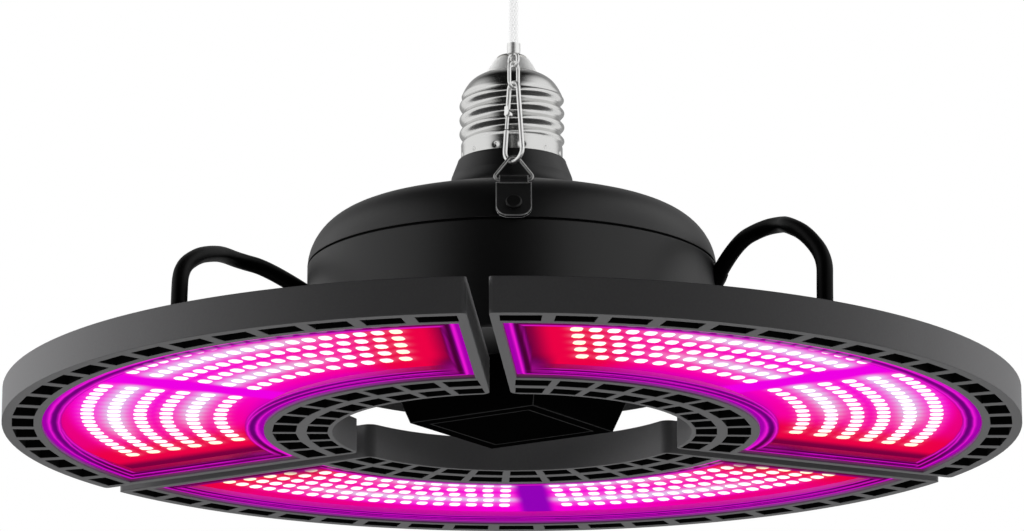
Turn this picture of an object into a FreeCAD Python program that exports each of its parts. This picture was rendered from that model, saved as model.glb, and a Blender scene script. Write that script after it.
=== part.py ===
import FreeCAD, Part
import math
import os

import Sketcher
from FreeCAD import Placement, Rotation, Vector

# A foldable grow light with a screw cap. Three vented lamp panels, each a third of a ring,
# hang on hinges under a round driver housing and fold up around it.
# The origin is the middle of the neck's top, where the screw cap is seated, with +Z up.
# Lengths are in millimetres and angles in degrees.

doc = FreeCAD.newDocument("foldable_grow_light")
sheet = doc.addObject("Spreadsheet::Sheet", "Dims")
sizes = {}
nodes = {}


class Size:
    """A number together with the sheet expression that gives it."""

    def __init__(self, value, text):
        self.value = value
        self.text = text

    def __add__(self, other):
        other = as_size(other)
        return Size(self.value + other.value, f"({self.text} + {other.text})")

    def __sub__(self, other):
        other = as_size(other)
        return Size(self.value - other.value, f"({self.text} - {other.text})")

    def __mul__(self, other):
        other = as_size(other)
        return Size(self.value * other.value, f"({self.text} * {other.text})")

    def __truediv__(self, other):
        other = as_size(other)
        return Size(self.value / other.value, f"({self.text} / {other.text})")

    def __neg__(self):
        return Size(-self.value, f"(-1 * {self.text})")

    def __rsub__(self, other):
        return as_size(other) - self

    def __rtruediv__(self, other):
        return as_size(other) / self

    __radd__ = __add__
    __rmul__ = __mul__


def as_size(thing):
    """A plain number as a Size of its own."""
    if isinstance(thing, Size):
        return thing
    return Size(float(thing), repr(float(thing)))


def root(square):
    return Size(math.sqrt(square.value), f"sqrt({square.text})")


def cosine(angle):
    angle = as_size(angle)
    return Size(math.cos(math.radians(angle.value)), f"cos({angle.text} * 1deg)")


def sine(angle):
    angle = as_size(angle)
    return Size(math.sin(math.radians(angle.value)), f"sin({angle.text} * 1deg)")


def dim(name, value):
    """Put one driving size into the sheet."""
    row = len(sizes) + 1
    sheet.set(f"A{row}", name)
    sheet.set(f"B{row}", str(value))
    sheet.setAlias(f"B{row}", name)
    sizes[name] = Size(float(value), f"Dims.{name}")
    return sizes[name]


# Ring of panels
ring_radius = dim("ring_radius", 125)
eye_radius = dim("eye_radius", 44.2)
panel_gap = dim("panel_gap", 5)
panel_height = dim("panel_height", 8.4)
outer_corner = dim("outer_corner", 1.2)
inner_corner = dim("inner_corner", 2.5)
rim_wall = dim("rim_wall", 2.4)
end_wall = dim("end_wall", 2)
deck_under = dim("deck_under", 4.2)
deck_wall = dim("deck_wall", 1.4)
fin_wall = dim("fin_wall", 1.6)
fin_drop = dim("fin_drop", 0.4)
outer_slots = dim("outer_slots", 20)
outer_pitch = dim("outer_pitch", 5.85)
outer_rib = dim("outer_rib", 3)
outer_slot_width = dim("outer_slot_width", 5.3)
inner_slots = dim("inner_slots", 11)
inner_pitch = dim("inner_pitch", 10.3)
inner_rib = dim("inner_rib", 2)
eye_wall = dim("eye_wall", 1.2)
inner_slot_width = dim("inner_slot_width", 5.2)
middle_slot_width = dim("middle_slot_width", 5.8)
row_land = dim("row_land", 2.6)
window_land = dim("window_land", 2)
window_end = dim("window_end", 2.3)
seat_depth = dim("seat_depth", 1.7)
seat_ledge = dim("seat_ledge", 1.4)
lens_step = dim("lens_step", 0.5)
lens_border = dim("lens_border", 1.8)
lens_play = dim("lens_play", 0.15)
seal_thick = dim("seal_thick", 0.3)
board_thick = dim("board_thick", 1)
board_play = dim("board_play", 0.3)

# Panel hinge
hinge_reach = dim("hinge_reach", 58)
hinge_rise = dim("hinge_rise", 3.15)
barrel_radius = dim("barrel_radius", 2.8)
hinge_pin_radius = dim("hinge_pin_radius", 1.5)
pin_play = dim("pin_play", 0.05)
pin_head_radius = dim("pin_head_radius", 2.3)
pin_head_thick = dim("pin_head_thick", 1)
pin_end_play = dim("pin_end_play", 0.2)
tongue_half = dim("tongue_half", 5.7)
barrel_play = dim("barrel_play", 0.4)
barrel_root = dim("barrel_root", 0.56)
leaf_half = dim("leaf_half", 13.5)
leaf_thick = dim("leaf_thick", 1.6)
leaf_gland_gap = dim("leaf_gland_gap", 6.4)
leaf_screw_share = dim("leaf_screw_share", 0.7)
bracket_thick = dim("bracket_thick", 1.8)
bracket_half = dim("bracket_half", 9)
bracket_tail = dim("bracket_tail", 25)
bracket_clear = dim("bracket_clear", 1.2)
bracket_screw_back = dim("bracket_screw_back", 8.3)
bracket_screw_out = dim("bracket_screw_out", 5.4)
screw_radius = dim("screw_radius", 1.2)
screw_head_radius = dim("screw_head_radius", 2.4)
screw_head_height = dim("screw_head_height", 1.3)
screw_depth = dim("screw_depth", 1.8)
screw_play = dim("screw_play", 0.1)

# Driver housing
housing_radius = dim("housing_radius", 50.8)
housing_wall = dim("housing_wall", 2)
housing_gap = dim("housing_gap", 6.4)
lower_height = dim("lower_height", 26.7)
dome_height = dim("dome_height", 28)
floor_wall = dim("floor_wall", 2.2)
floor_edge = dim("floor_edge", 1)
seam_gap = dim("seam_gap", 0.6)
seam_inset = dim("seam_inset", 0.7)
shoulder_inset = dim("shoulder_inset", 9.8)
shoulder_tilt = dim("shoulder_tilt", 16.5)
shoulder_drop = dim("shoulder_drop", 15.5)
shoulder_round = dim("shoulder_round", 13.6)
crown_radius = dim("crown_radius", 18.2)
crown_drop = dim("crown_drop", 9.3)
crown_round = dim("crown_round", 300)
neck_radius = dim("neck_radius", 13.6)
neck_fillet = dim("neck_fillet", 6)
neck_base = dim("neck_base", 15.1)
neck_foot = dim("neck_foot", 4.6)
neck_round = dim("neck_round", 0.6)
spigot_height = dim("spigot_height", 6)
wire_bore = dim("wire_bore", 4)
post_inset = dim("post_inset", 14.8)
post_radius = dim("post_radius", 2.5)
post_height = dim("post_height", 10)

# Driver
driver_inset = dim("driver_inset", 9.8)
driver_thick = dim("driver_thick", 1.6)
coil_length = dim("coil_length", 26)
coil_width = dim("coil_width", 22)
coil_height = dim("coil_height", 16)
coil_shift = dim("coil_shift", 5.5)
capacitor_radius = dim("capacitor_radius", 6)
capacitor_height = dim("capacitor_height", 18)
capacitor_offset = dim("capacitor_offset", 22)
capacitor_spread = dim("capacitor_spread", 14)

# Hub box under the housing
hub_side = dim("hub_side", 36)
hub_height = dim("hub_height", 13.3)
hub_draft = dim("hub_draft", 18)
hub_wall = dim("hub_wall", 2)
hub_floor = dim("hub_floor", 2.6)
cover_side = dim("cover_side", 29)
cover_thick = dim("cover_thick", 1)
cover_play = dim("cover_play", 0.15)

# Screw cap
cap_height = dim("cap_height", 22.6)
cap_skirt = dim("cap_skirt", 3.6)
cap_skirt_radius = dim("cap_skirt_radius", 12.7)
cap_crest = dim("cap_crest", 13.15)
cap_depth = dim("cap_depth", 1.05)
cap_pitch = dim("cap_pitch", 3.63)
cap_bore = dim("cap_bore", 11.4)
cap_top_radius = dim("cap_top_radius", 6.7)
cap_wall = dim("cap_wall", 0.6)
cap_top_round = dim("cap_top_round", 9)
cap_inner_slope = dim("cap_inner_slope", 5)
cap_thread_start = dim("cap_thread_start", 0.45)
insulator_height = dim("insulator_height", 3.7)
insulator_top = dim("insulator_top", 4.5)
contact_radius = dim("contact_radius", 4)
contact_height = dim("contact_height", 1.2)

# Leads from the housing to the panels
gland_reach = dim("gland_reach", 89)
gland_radius = dim("gland_radius", 5)
gland_height = dim("gland_height", 7)
gland_flange = dim("gland_flange", 1.6)
gland_collar = dim("gland_collar", 4)
gland_lip = dim("gland_lip", 0.75)
gland_taper = dim("gland_taper", 2.3)
gland_hole = dim("gland_hole", 3.2)
gland_play = dim("gland_play", 0.15)
boss_radius = dim("boss_radius", 5.6)
lead_radius = dim("lead_radius", 2)
lead_drop = dim("lead_drop", 9.5)
boot_rise = dim("boot_rise", 22.5)
boot_radius = dim("boot_radius", 2.4)
boot_tip = dim("boot_tip", 2.2)
boot_inside = dim("boot_inside", 6)
boot_shank = dim("boot_shank", 1)
boot_length = dim("boot_length", 2.5)
boot_play = dim("boot_play", 0.1)

# Where a lead leaves the housing: the turn of the place, the axis's swing and tilt, and the first run
EXIT_SIZES = {"right": (-4.7, -43.6, 44.7, 8.6), "rear": (90, 0, 35, 8), "left": (170, 40, 26, 11.5)}
LEAD_EXITS = {}
for side, values in EXIT_SIZES.items():
    names = (f"{side}_exit_turn", f"{side}_exit_swing", f"{side}_exit_tilt", f"{side}_exit_run")
    LEAD_EXITS[side] = [dim(name, value) for name, value in zip(names, values)]

# Safety hanger on the front of the dome
hanger_turn = dim("hanger_turn", -86)
strap_width = dim("strap_width", 8.6)
strap_thick = dim("strap_thick", 1)
strap_foot_out = dim("strap_foot_out", 1.238)
strap_foot_lift = dim("strap_foot_lift", -0.396)
strap_length = dim("strap_length", 10.2)
strap_tilt = dim("strap_tilt", 24)
strap_corner = dim("strap_corner", 3)
strap_pad_start = dim("strap_pad_start", 1.7)
strap_pad_sink = dim("strap_pad_sink", 1.2)
strap_pad_inset = dim("strap_pad_inset", 0.86)
strap_drill_depth = dim("strap_drill_depth", 3)
curl_radius = dim("curl_radius", 1.25)
curl_lift = dim("curl_lift", 0.875)
curl_width = dim("curl_width", 7)
ring_wire = dim("ring_wire", 0.42)
ring_play = dim("ring_play", 0.16)
ring_half = dim("ring_half", 5.4)
ring_slope = dim("ring_slope", 52)
ring_corner = dim("ring_corner", 0.9)
ring_apex = dim("ring_apex", 1.7)
strap_screw_head = dim("strap_screw_head", 2)
strap_screw_lift = dim("strap_screw_lift", 0.9)
strap_screw_round = dim("strap_screw_round", 0.54)
strap_screw_length = dim("strap_screw_length", 2.5)
strap_screw_place = dim("strap_screw_place", 3.8)
hook_wire = dim("hook_wire", 0.55)
hook_turn = dim("hook_turn", 45)
hook_bow = dim("hook_bow", 2.9)
hook_height = dim("hook_height", 19.6)
hook_top = dim("hook_top", 1.5)
hook_nose = dim("hook_nose", 5)
hook_stub = dim("hook_stub", 5)
gate_wire = dim("gate_wire", 0.42)
gate_eye = dim("gate_eye", 0.8)
gate_eye_thick = dim("gate_eye_thick", 0.6)
gate_play = dim("gate_play", 0.3)
rivet_radius = dim("rivet_radius", 0.35)
rivet_play = dim("rivet_play", 0.06)
rivet_head = dim("rivet_head", 0.6)
tab_thick = dim("tab_thick", 0.55)
tab_start = dim("tab_start", 0.12)
gate_start = dim("gate_start", 0.54)
link_wire = dim("link_wire", 0.45)
link_round = dim("link_round", 1.5)
link_straight = dim("link_straight", 3.4)
chain_play = dim("chain_play", 0.18)
rope_radius = dim("rope_radius", 1.2)
rope_length = dim("rope_length", 30.5)
ferrule_radius = dim("ferrule_radius", 1.6)
ferrule_length = dim("ferrule_length", 2.6)
rope_ring_round = dim("rope_ring_round", 1.4)
eye_outer = dim("eye_outer", 5.2)
eye_bore = dim("eye_bore", 3)
eye_thick = dim("eye_thick", 2.4)
eye_rise = dim("eye_rise", 4.68)
doc.recompute()

# Heights above the origin
seam_z = -dome_height
floor_z = seam_z - lower_height
panel_top_z = floor_z - housing_gap
panel_z = panel_top_z - panel_height

# The panels lie in three equal sectors, and their middles point in these directions
PANEL_TURNS = {"right": -30, "rear": 90, "left": 210}
FIRST_TURN = PANEL_TURNS["right"]
HALF_SECTOR = 60
QUARTER_TURN = 90


def place(piece, x=0, y=0, z=0, turn=0):
    """Set a piece at x, y, z, turned about the vertical axis."""
    settings = {"Base.x": x, "Base.y": y, "Base.z": z, "Rotation.Angle": turn}
    for name, setting in settings.items():
        piece.setExpression("Placement." + name, as_size(setting).text)


def body(label, z=0, turn=0):
    """Start one piece, drawn in its own frame."""
    piece = doc.addObject("PartDesign::Body", label)
    piece.Label = label
    place(piece, z=z, turn=turn)
    nodes[label] = piece
    return piece


def arc_between(start, end, radius):
    """The short arc from start to end, anticlockwise where the radius is positive."""
    half = (end - start) * 0.5
    left = Vector(-half.y, half.x, 0)
    left.normalize()
    centre = start + half + left * math.copysign(math.sqrt(radius ** 2 - half.Length ** 2), radius)
    first, last = (start, end) if radius > 0 else (end, start)
    from_angle = math.atan2(first.y - centre.y, first.x - centre.x)
    to_angle = math.atan2(last.y - centre.y, last.x - centre.x)
    if to_angle < from_angle:
        to_angle += 2 * math.pi
    return Part.ArcOfCircle(Part.Circle(centre, Vector(0, 0, 1), abs(radius)), from_angle, to_angle)


def hold_point(drawing, geometry, position, x, y):
    """Fix one point of a sketch at x, y from the sketch's origin."""
    for kind, axis, distance in (("DistanceX", -2, x), ("DistanceY", -1, y)):
        if distance.text == "0.0":
            drawing.addConstraint(Sketcher.Constraint("PointOnObject", geometry, position, axis))
        else:
            rule = Sketcher.Constraint(kind, -1, 1, geometry, position, distance.value)
            index = drawing.addConstraint(rule)
            drawing.setExpression(f"Constraints[{index}]", distance.text)


def hold_radius(drawing, geometry, radius):
    """Fix the radius of a circle or an arc."""
    index = drawing.addConstraint(Sketcher.Constraint("Radius", geometry, radius.value))
    drawing.setExpression(f"Constraints[{index}]", radius.text)


def draw_side(drawing, start, corner):
    """Draw the side that ends at a corner, and say which of its ends comes first."""
    a = Vector(start[0].value, start[1].value, 0)
    b = Vector(corner[0].value, corner[1].value, 0)
    if len(corner) == 2:
        return drawing.addGeometry(Part.LineSegment(a, b)), 1, 2
    radius = corner[2]
    side = drawing.addGeometry(arc_between(a, b, radius.value))
    if radius.value > 0:
        hold_radius(drawing, side, radius)
        return side, 1, 2
    hold_radius(drawing, side, -radius)
    return side, 2, 1


def sketch(piece, plane, *outlines, offset=0, closed=True):
    """Sketch outlines on one of the piece's own planes, offset along its normal.

    An outline is a list of corners (x, y) or (x, y, radius). A radius makes the side that ends
    at the corner an arc, anticlockwise where positive. A tuple (x, y, radius) is a circle.
    """
    drawing = piece.newObject("Sketcher::SketchObject", "Outline")
    base = next(part for part in piece.Origin.OriginFeatures if part.Role == plane)
    drawing.AttachmentSupport = [(base, "")]
    drawing.MapMode = "FlatFace"
    drawing.setExpression("AttachmentOffset.Base.z", as_size(offset).text)
    for outline in outlines:
        if isinstance(outline, tuple):
            x, y, radius = (as_size(part) for part in outline)
            middle = Vector(x.value, y.value, 0)
            circle = drawing.addGeometry(Part.Circle(middle, Vector(0, 0, 1), radius.value))
            hold_point(drawing, circle, 3, x, y)
            hold_radius(drawing, circle, radius)
            continue
        corners = [tuple(as_size(part) for part in corner) for corner in outline]
        first = 0 if closed else 1
        sides = [draw_side(drawing, corners[i - 1], corners[i]) for i in range(first, len(corners))]
        for (side, _, end), (following, start, _) in zip(sides, sides[1:]):
            drawing.addConstraint(Sketcher.Constraint("Coincident", side, end, following, start))
        if closed:
            (side, _, end), (following, start, _) = sides[-1], sides[0]
            drawing.addConstraint(Sketcher.Constraint("Coincident", side, end, following, start))
        else:
            hold_point(drawing, sides[0][0], sides[0][1], *corners[0][:2])
        for (side, _, end), corner in zip(sides, corners[first:]):
            hold_point(drawing, side, end, *corner[:2])
    return drawing


def pad(piece, outline, length, back=False, middle=False, draft=None):
    """Raise a sketch by a length, along its normal, against it, or half each way."""
    feature = piece.newObject("PartDesign::Pad", "Pad")
    feature.Profile = (outline, [""])
    feature.setExpression("Length", as_size(length).text)
    feature.Reversed = back
    if middle:
        feature.SideType = "Symmetric"
    if draft:
        feature.setExpression("TaperAngle", draft.text)
    return feature


def pocket(piece, outline, depth, along=False):
    """Cut a sketch into a piece, against its normal or along it, and see that it cuts."""
    doc.recompute()
    before = piece.Tip.Shape.Volume
    feature = piece.newObject("PartDesign::Pocket", "Pocket")
    feature.Profile = (outline, [""])
    feature.setExpression("Length", as_size(depth).text)
    feature.Reversed = along
    doc.recompute()
    if feature.Shape.Volume >= before:
        raise RuntimeError(f"a pocket in {piece.Label} cuts nothing")
    return feature


def revolve(piece, outline, axis="V_Axis"):
    """Turn a sketch once round one of its axes."""
    feature = piece.newObject("PartDesign::Revolution", "Revolution")
    feature.Profile = (outline, [""])
    feature.ReferenceAxis = (outline, [axis])
    feature.Angle = 360
    return feature


def repeat(piece, feature, outline, count, pitch):
    """Repeat a feature about the normal of its sketch."""
    pattern = piece.newObject("PartDesign::PolarPattern", "Pattern")
    pattern.Originals = [feature]
    pattern.Axis = (outline, ["N_Axis"])
    pattern.setExpression("Angle", (pitch * (count - 1)).text)
    pattern.setExpression("Occurrences", count.text)
    piece.Tip = pattern
    return pattern


def round_edges(piece, feature, names, radius):
    """Round the named edges of a feature."""
    fillet = piece.newObject("PartDesign::Fillet", "Fillet")
    fillet.Base = (feature, names)
    fillet.setExpression("Radius", radius.text)
    return fillet


def upright_edges(feature, distance):
    """Names of a feature's upright edges at a distance from the axis."""
    names = []
    for number, edge in enumerate(feature.Shape.Edges, 1):
        top, bottom = edge.Vertexes[0].Point, edge.Vertexes[-1].Point
        upright = math.hypot(top.x - bottom.x, top.y - bottom.y) < 1e-6
        if upright and abs(math.hypot(top.x, top.y) - distance.value) < 1e-3:
            names.append(f"Edge{number}")
    return names


def turned_copy(source, label, turn):
    """The same piece again, turned about the vertical axis."""
    copy = doc.addObject("Part::Compound", label)
    copy.Label = label
    copy.Links = [source]
    place(copy, turn=turn)
    nodes[label] = copy
    return copy


def wire_along(piece, path, start, section_plane, offset, radius):
    """Carry a round wire along a path that leaves the section's plane squarely."""
    section = sketch(piece, section_plane, (start[0], start[1], radius), offset=offset)
    pipe = piece.newObject("PartDesign::AdditivePipe", "Wire")
    pipe.Profile = (section, [""])
    pipe.Spine = (path, [])
    return pipe


def sector(inner, outer, inset):
    """A third of a ring, with ends parallel to the dividing lines and an inset from them."""
    def end_point(radius):
        along = root(radius * radius - inset * inset)
        x = along * cosine(HALF_SECTOR) + inset * sine(HALF_SECTOR)
        y = along * sine(HALF_SECTOR) - inset * cosine(HALF_SECTOR)
        return x, y

    near_x, near_y = end_point(inner)
    far_x, far_y = end_point(outer)
    return [(near_x, -near_y, -inner), (far_x, -far_y), (far_x, far_y, outer), (near_x, near_y)]


def slot(inner, outer, from_angle, to_angle):
    """A straight-sided slot between two radii and two angles about the axis."""
    corners = ((inner, from_angle), (outer, from_angle), (outer, to_angle), (inner, to_angle))
    return [(radius * cosine(angle), radius * sine(angle)) for radius, angle in corners]


def box_outline(low_x, high_x, half_y):
    """A rectangle that is centred on the first axis."""
    return [(low_x, -half_y), (high_x, -half_y), (high_x, half_y), (low_x, half_y)]


def square(side):
    """A square about the origin."""
    return box_outline(-side / 2, side / 2, side / 2)


# Panel frame: a die-cast tray with a lamp recess below, cooling fins above and vents through it
deck_top = deck_under + deck_wall
vent_outer = ring_radius - rim_wall
vent_inner = vent_outer - outer_slot_width
window_outer = vent_inner - window_land
row_b_inner = eye_radius + eye_wall
row_b_outer = row_b_inner + inner_slot_width
row_a_inner = row_b_outer + row_land
row_a_outer = row_a_inner + middle_slot_width
window_inner = row_a_outer + window_land
window_inset = panel_gap / 2 + window_end
fin_inner = window_inner - window_land / 2


def vents(piece, inner, outer, count, pitch, rib):
    """A row of vent slots through the panel, between ribs of one width at the outer radius."""
    first = -(pitch * (count - 1)) / 2
    half = (pitch - rib * (180 / math.pi) / outer) / 2
    outline = sketch(piece, "XY_Plane", slot(inner, outer, first - half, first + half))
    cut = pocket(piece, outline, panel_height, along=True)
    repeat(piece, cut, outline, count, pitch)


def fin(angle):
    """One radial fin, set at an angle, whose ends reach into the walls."""
    bite = rim_wall / 4
    corners = []
    for along, across in ((fin_inner - bite, -1), (vent_outer + bite, -1),
                          (vent_outer + bite, 1), (fin_inner - bite, 1)):
        side = fin_wall / 2 * across
        corners.append((along * cosine(angle) - side * sine(angle),
                        along * sine(angle) + side * cosine(angle)))
    return corners


leaf_end = gland_reach - boss_radius - leaf_gland_gap
pad_start = fin_inner + end_wall / 2
frame = body("right_panel_frame", z=panel_z, turn=FIRST_TURN)
tray = pad(frame, sketch(frame, "XY_Plane", sector(eye_radius, ring_radius, panel_gap / 2)), panel_height)
doc.recompute()
rounded = round_edges(frame, tray, upright_edges(tray, ring_radius), outer_corner)
doc.recompute()
round_edges(frame, rounded, upright_edges(rounded, eye_radius), inner_corner)
sink = sector(fin_inner, vent_outer, panel_gap / 2 + end_wall)
pocket(frame, sketch(frame, "XY_Plane", sink, offset=panel_height), panel_height - deck_top)
fin_count = outer_slots - 1
fin_sketch = sketch(frame, "XY_Plane", fin(-(outer_pitch * (fin_count - 1)) / 2), offset=deck_top)
first_fin = pad(frame, fin_sketch, panel_height - deck_top - fin_drop)
repeat(frame, first_fin, fin_sketch, fin_count, outer_pitch)
hinge_pad = box_outline(pad_start, leaf_end, leaf_half + end_wall / 2)
pad(frame, sketch(frame, "XY_Plane", hinge_pad, offset=deck_top), panel_height - deck_top)
boss = (gland_reach, 0, boss_radius)
pad(frame, sketch(frame, "XY_Plane", boss, offset=deck_top), panel_height - deck_top)
window = sector(window_inner, window_outer, window_inset)
pocket(frame, sketch(frame, "XY_Plane", window), seat_depth, along=True)
cavity = sector(window_inner + seat_ledge, window_outer - seat_ledge, window_inset + seat_ledge)
pocket(frame, sketch(frame, "XY_Plane", cavity), deck_under, along=True)
gland_seat = (gland_reach, 0, gland_hole)
pocket(frame, sketch(frame, "XY_Plane", gland_seat, offset=panel_height), panel_height - deck_under)
screw_x = hinge_reach + (leaf_end - hinge_reach) * leaf_screw_share
screw_y = leaf_half * leaf_screw_share
leaf_screws = [(screw_x, screw_y, screw_radius), (screw_x, -screw_y, screw_radius)]
pocket(frame, sketch(frame, "XY_Plane", *leaf_screws, offset=panel_height), screw_depth)
vents(frame, vent_inner, vent_outer, outer_slots, outer_pitch, outer_rib)
vents(frame, row_a_inner, row_a_outer, inner_slots, inner_pitch, inner_rib)
vents(frame, row_b_inner, row_b_outer, inner_slots, inner_pitch, inner_rib)

# Lens: a clear cover, flush with the tray's face, with a lower step round its border
lens = body("right_lens", z=panel_z, turn=FIRST_TURN)
lens_back = seat_depth - seal_thick
rim = sector(window_inner + lens_play, window_outer - lens_play, window_inset + lens_play)
pad(lens, sketch(lens, "XY_Plane", rim, offset=lens_step), lens_back - lens_step)
middle = sector(window_inner + lens_border, window_outer - lens_border, window_inset + lens_border)
pad(lens, sketch(lens, "XY_Plane", middle), lens_back)

# Lens seal: a flat silicone frame between the lens and its ledge
seal = body("right_lens_seal", z=panel_z, turn=FIRST_TURN)
pad(seal, sketch(seal, "XY_Plane", rim, cavity, offset=lens_back), seal_thick)

# Lamp board: an aluminium board that fills the recess, with a hole for the lead's wires
board = body("right_lamp_board", z=panel_z, turn=FIRST_TURN)
board_outline = sector(window_inner + seat_ledge + board_play, window_outer - seat_ledge - board_play,
                       window_inset + seat_ledge + board_play)
wire_hole = (gland_reach, 0, lead_radius)
pad(board, sketch(board, "XY_Plane", board_outline, wire_hole, offset=deck_under - board_thick), board_thick)

# Panel hinge leaf: a plate on the tray's pad, with two barrels that hold the pin
hinge_z = panel_height + hinge_rise
notch_x = hinge_reach + barrel_radius + barrel_play
notch_half = tongue_half + barrel_play
leaf_root = hinge_reach + barrel_root
leaf = body("right_hinge_leaf", z=panel_z, turn=FIRST_TURN)
leaf_outline = [(leaf_root, -leaf_half), (leaf_end, -leaf_half), (leaf_end, leaf_half),
                (leaf_root, leaf_half), (leaf_root, notch_half), (notch_x, notch_half),
                (notch_x, -notch_half), (leaf_root, -notch_half)]
pad(leaf, sketch(leaf, "XY_Plane", leaf_outline, offset=panel_height), leaf_thick)
barrel = (hinge_reach, hinge_z, barrel_radius)
for start in (notch_half, -leaf_half):
    pad(leaf, sketch(leaf, "XZ_Plane", barrel, offset=-start), leaf_half - notch_half, back=True)
pin_hole = (hinge_reach, hinge_z, hinge_pin_radius + pin_play)
pocket(leaf, sketch(leaf, "XZ_Plane", pin_hole, offset=leaf_half), leaf_half * 2)
leaf_holes = [(x, y, radius + screw_play) for x, y, radius in leaf_screws]
pocket(leaf, sketch(leaf, "XY_Plane", *leaf_holes, offset=panel_height + leaf_thick), leaf_thick)

# Leaf screws: two pan heads that hold the leaf to the tray
screws = body("right_leaf_screws", z=panel_z, turn=FIRST_TURN)
shanks = [(x, y, radius - screw_play) for x, y, radius in leaf_screws]
heads = [(x, y, screw_head_radius) for x, y, radius in leaf_screws]
leaf_top = panel_height + leaf_thick
shank_end = panel_height - screw_depth + screw_play
for outline, low, high in ((shanks, shank_end, leaf_top), (heads, leaf_top, leaf_top + screw_head_height)):
    for circle in outline:
        raised = pad(screws, sketch(screws, "XY_Plane", circle, offset=low), high - low)
        raised.Refine = False

# Hinge pin: a headed rod through the barrels
pin = body("right_hinge_pin", z=panel_z, turn=FIRST_TURN)
rod = (hinge_reach, hinge_z, hinge_pin_radius)
pin_end = leaf_half + pin_end_play
pad(pin, sketch(pin, "XZ_Plane", rod, offset=-pin_end), pin_end * 2)
for near in (pin_end, -pin_end - pin_head_thick):
    head = (hinge_reach, hinge_z, pin_head_radius)
    pad(pin, sketch(pin, "XZ_Plane", head, offset=near), pin_head_thick)

# Panel gland: the nut that the lead enters the tray by
gland = body("right_gland")
place(gland, gland_reach * cosine(FIRST_TURN), gland_reach * sine(FIRST_TURN), panel_z)
gland_top = panel_height + gland_height
gland_nose = lead_radius + gland_lip
gland_spigot = gland_hole - gland_play
gland_foot = deck_under + gland_play
shoulder_top = gland_top - gland_taper
revolve(gland, sketch(gland, "XZ_Plane", [
    (0, gland_foot), (gland_spigot, gland_foot), (gland_spigot, panel_height), (gland_radius, panel_height),
    (gland_radius, panel_height + gland_flange), (gland_collar, panel_height + gland_flange),
    (gland_collar, shoulder_top), (gland_nose, gland_top), (0, gland_top)]))

# Hinge bracket: the fixed half, screwed under the housing's floor, with the middle barrel
bracket = body("right_hinge_bracket", z=panel_z, turn=FIRST_TURN)
bracket_top = panel_height + housing_gap
bracket_low = bracket_top - bracket_thick
tail_x = hinge_reach - bracket_tail
neck_x = hinge_reach - barrel_radius - bracket_clear
bracket_outline = [(tail_x, -bracket_half), (neck_x, -bracket_half), (neck_x, -tongue_half),
                   (hinge_reach, -tongue_half), (hinge_reach, tongue_half), (neck_x, tongue_half),
                   (neck_x, bracket_half), (tail_x, bracket_half)]
pad(bracket, sketch(bracket, "XY_Plane", bracket_outline, offset=bracket_low), bracket_thick)
pad(bracket, sketch(bracket, "XZ_Plane", barrel), tongue_half * 2, middle=True)
pocket(bracket, sketch(bracket, "XZ_Plane", pin_hole, offset=tongue_half), tongue_half * 2)
bracket_screw_x = tail_x + bracket_screw_back
bracket_screw_y = bracket_screw_out
bracket_spots = [(bracket_screw_x, bracket_screw_y), (bracket_screw_x, -bracket_screw_y)]
bracket_holes = [(x, y, screw_radius + screw_play) for x, y in bracket_spots]
pocket(bracket, sketch(bracket, "XY_Plane", *bracket_holes, offset=bracket_top), bracket_thick)

# Bracket screws: two pan heads from below at each bracket, six in all
screw_pairs = []
pair = body("bracket_screw_pair", z=panel_z, turn=FIRST_TURN)
del nodes["bracket_screw_pair"]
for x, y in bracket_spots:
    shank = sketch(pair, "XY_Plane", (x, y, screw_radius - screw_play), offset=bracket_low)
    pad(pair, shank, bracket_thick + screw_depth)
    head = sketch(pair, "XY_Plane", (x, y, screw_head_radius), offset=bracket_low)
    pad(pair, head, screw_head_height, back=True)
for side, turn in PANEL_TURNS.items():
    turned = turned_copy(pair, f"{side}_bracket_screws", turn - FIRST_TURN)
    del nodes[turned.Label]
    screw_pairs.append(turned)
bracket_screws = doc.addObject("Part::Compound", "bracket_screws")
bracket_screws.Links = screw_pairs
nodes["bracket_screws"] = bracket_screws

# The rear and left panels and brackets repeat the right one
for label in [label for label in nodes if label.startswith("right_")]:
    for side in ("rear", "left"):
        turned_copy(nodes[label], label.replace("right", side), PANEL_TURNS[side] - FIRST_TURN)


def around(turn, reach, height):
    """The point at a reach from the vertical axis and a height, on a turn about it."""
    return reach * cosine(turn), reach * sine(turn), height


def ahead(spot, turn, tilt, distance):
    """The point at a distance from a spot, along an axis that is turned and tilted up."""
    x, y, z = spot
    level = distance * cosine(tilt)
    return x + level * cosine(turn), y + level * sine(turn), z + distance * sine(tilt)


def aim(piece, spot, turn, tilt):
    """Set a piece at a spot, with its own upward axis turned and tilted up."""
    across = Vector(-math.sin(math.radians(turn.value)), math.cos(math.radians(turn.value)), 0)
    piece.Placement = Placement(Vector(), Rotation(across, 90 - tilt.value))
    for name, setting in zip(("Base.x", "Base.y", "Base.z", "Rotation.Angle"), (*spot, 90 - tilt)):
        piece.setExpression("Placement." + name, setting.text)


def drill(spot, turn, tilt, radius, depth):
    """A drill along an axis through a spot, as far before the spot as behind it."""
    tool = doc.addObject("Part::Cylinder", "Drill")
    tool.setExpression("Radius", radius.text)
    tool.setExpression("Height", (depth * 2).text)
    aim(tool, ahead(spot, turn, tilt, -depth), turn, tilt)
    return tool


def drilled(label, blank, tools):
    """The blank with its drilled holes, as the finished piece."""
    joined = tools[0]
    if len(tools) > 1:
        joined = doc.addObject("Part::MultiFuse", "Drills")
        joined.Shapes = tools
    finished = doc.addObject("Part::Cut", label)
    finished.Label = label
    finished.Base = blank
    finished.Tool = joined
    nodes[label] = finished
    return finished


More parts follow.
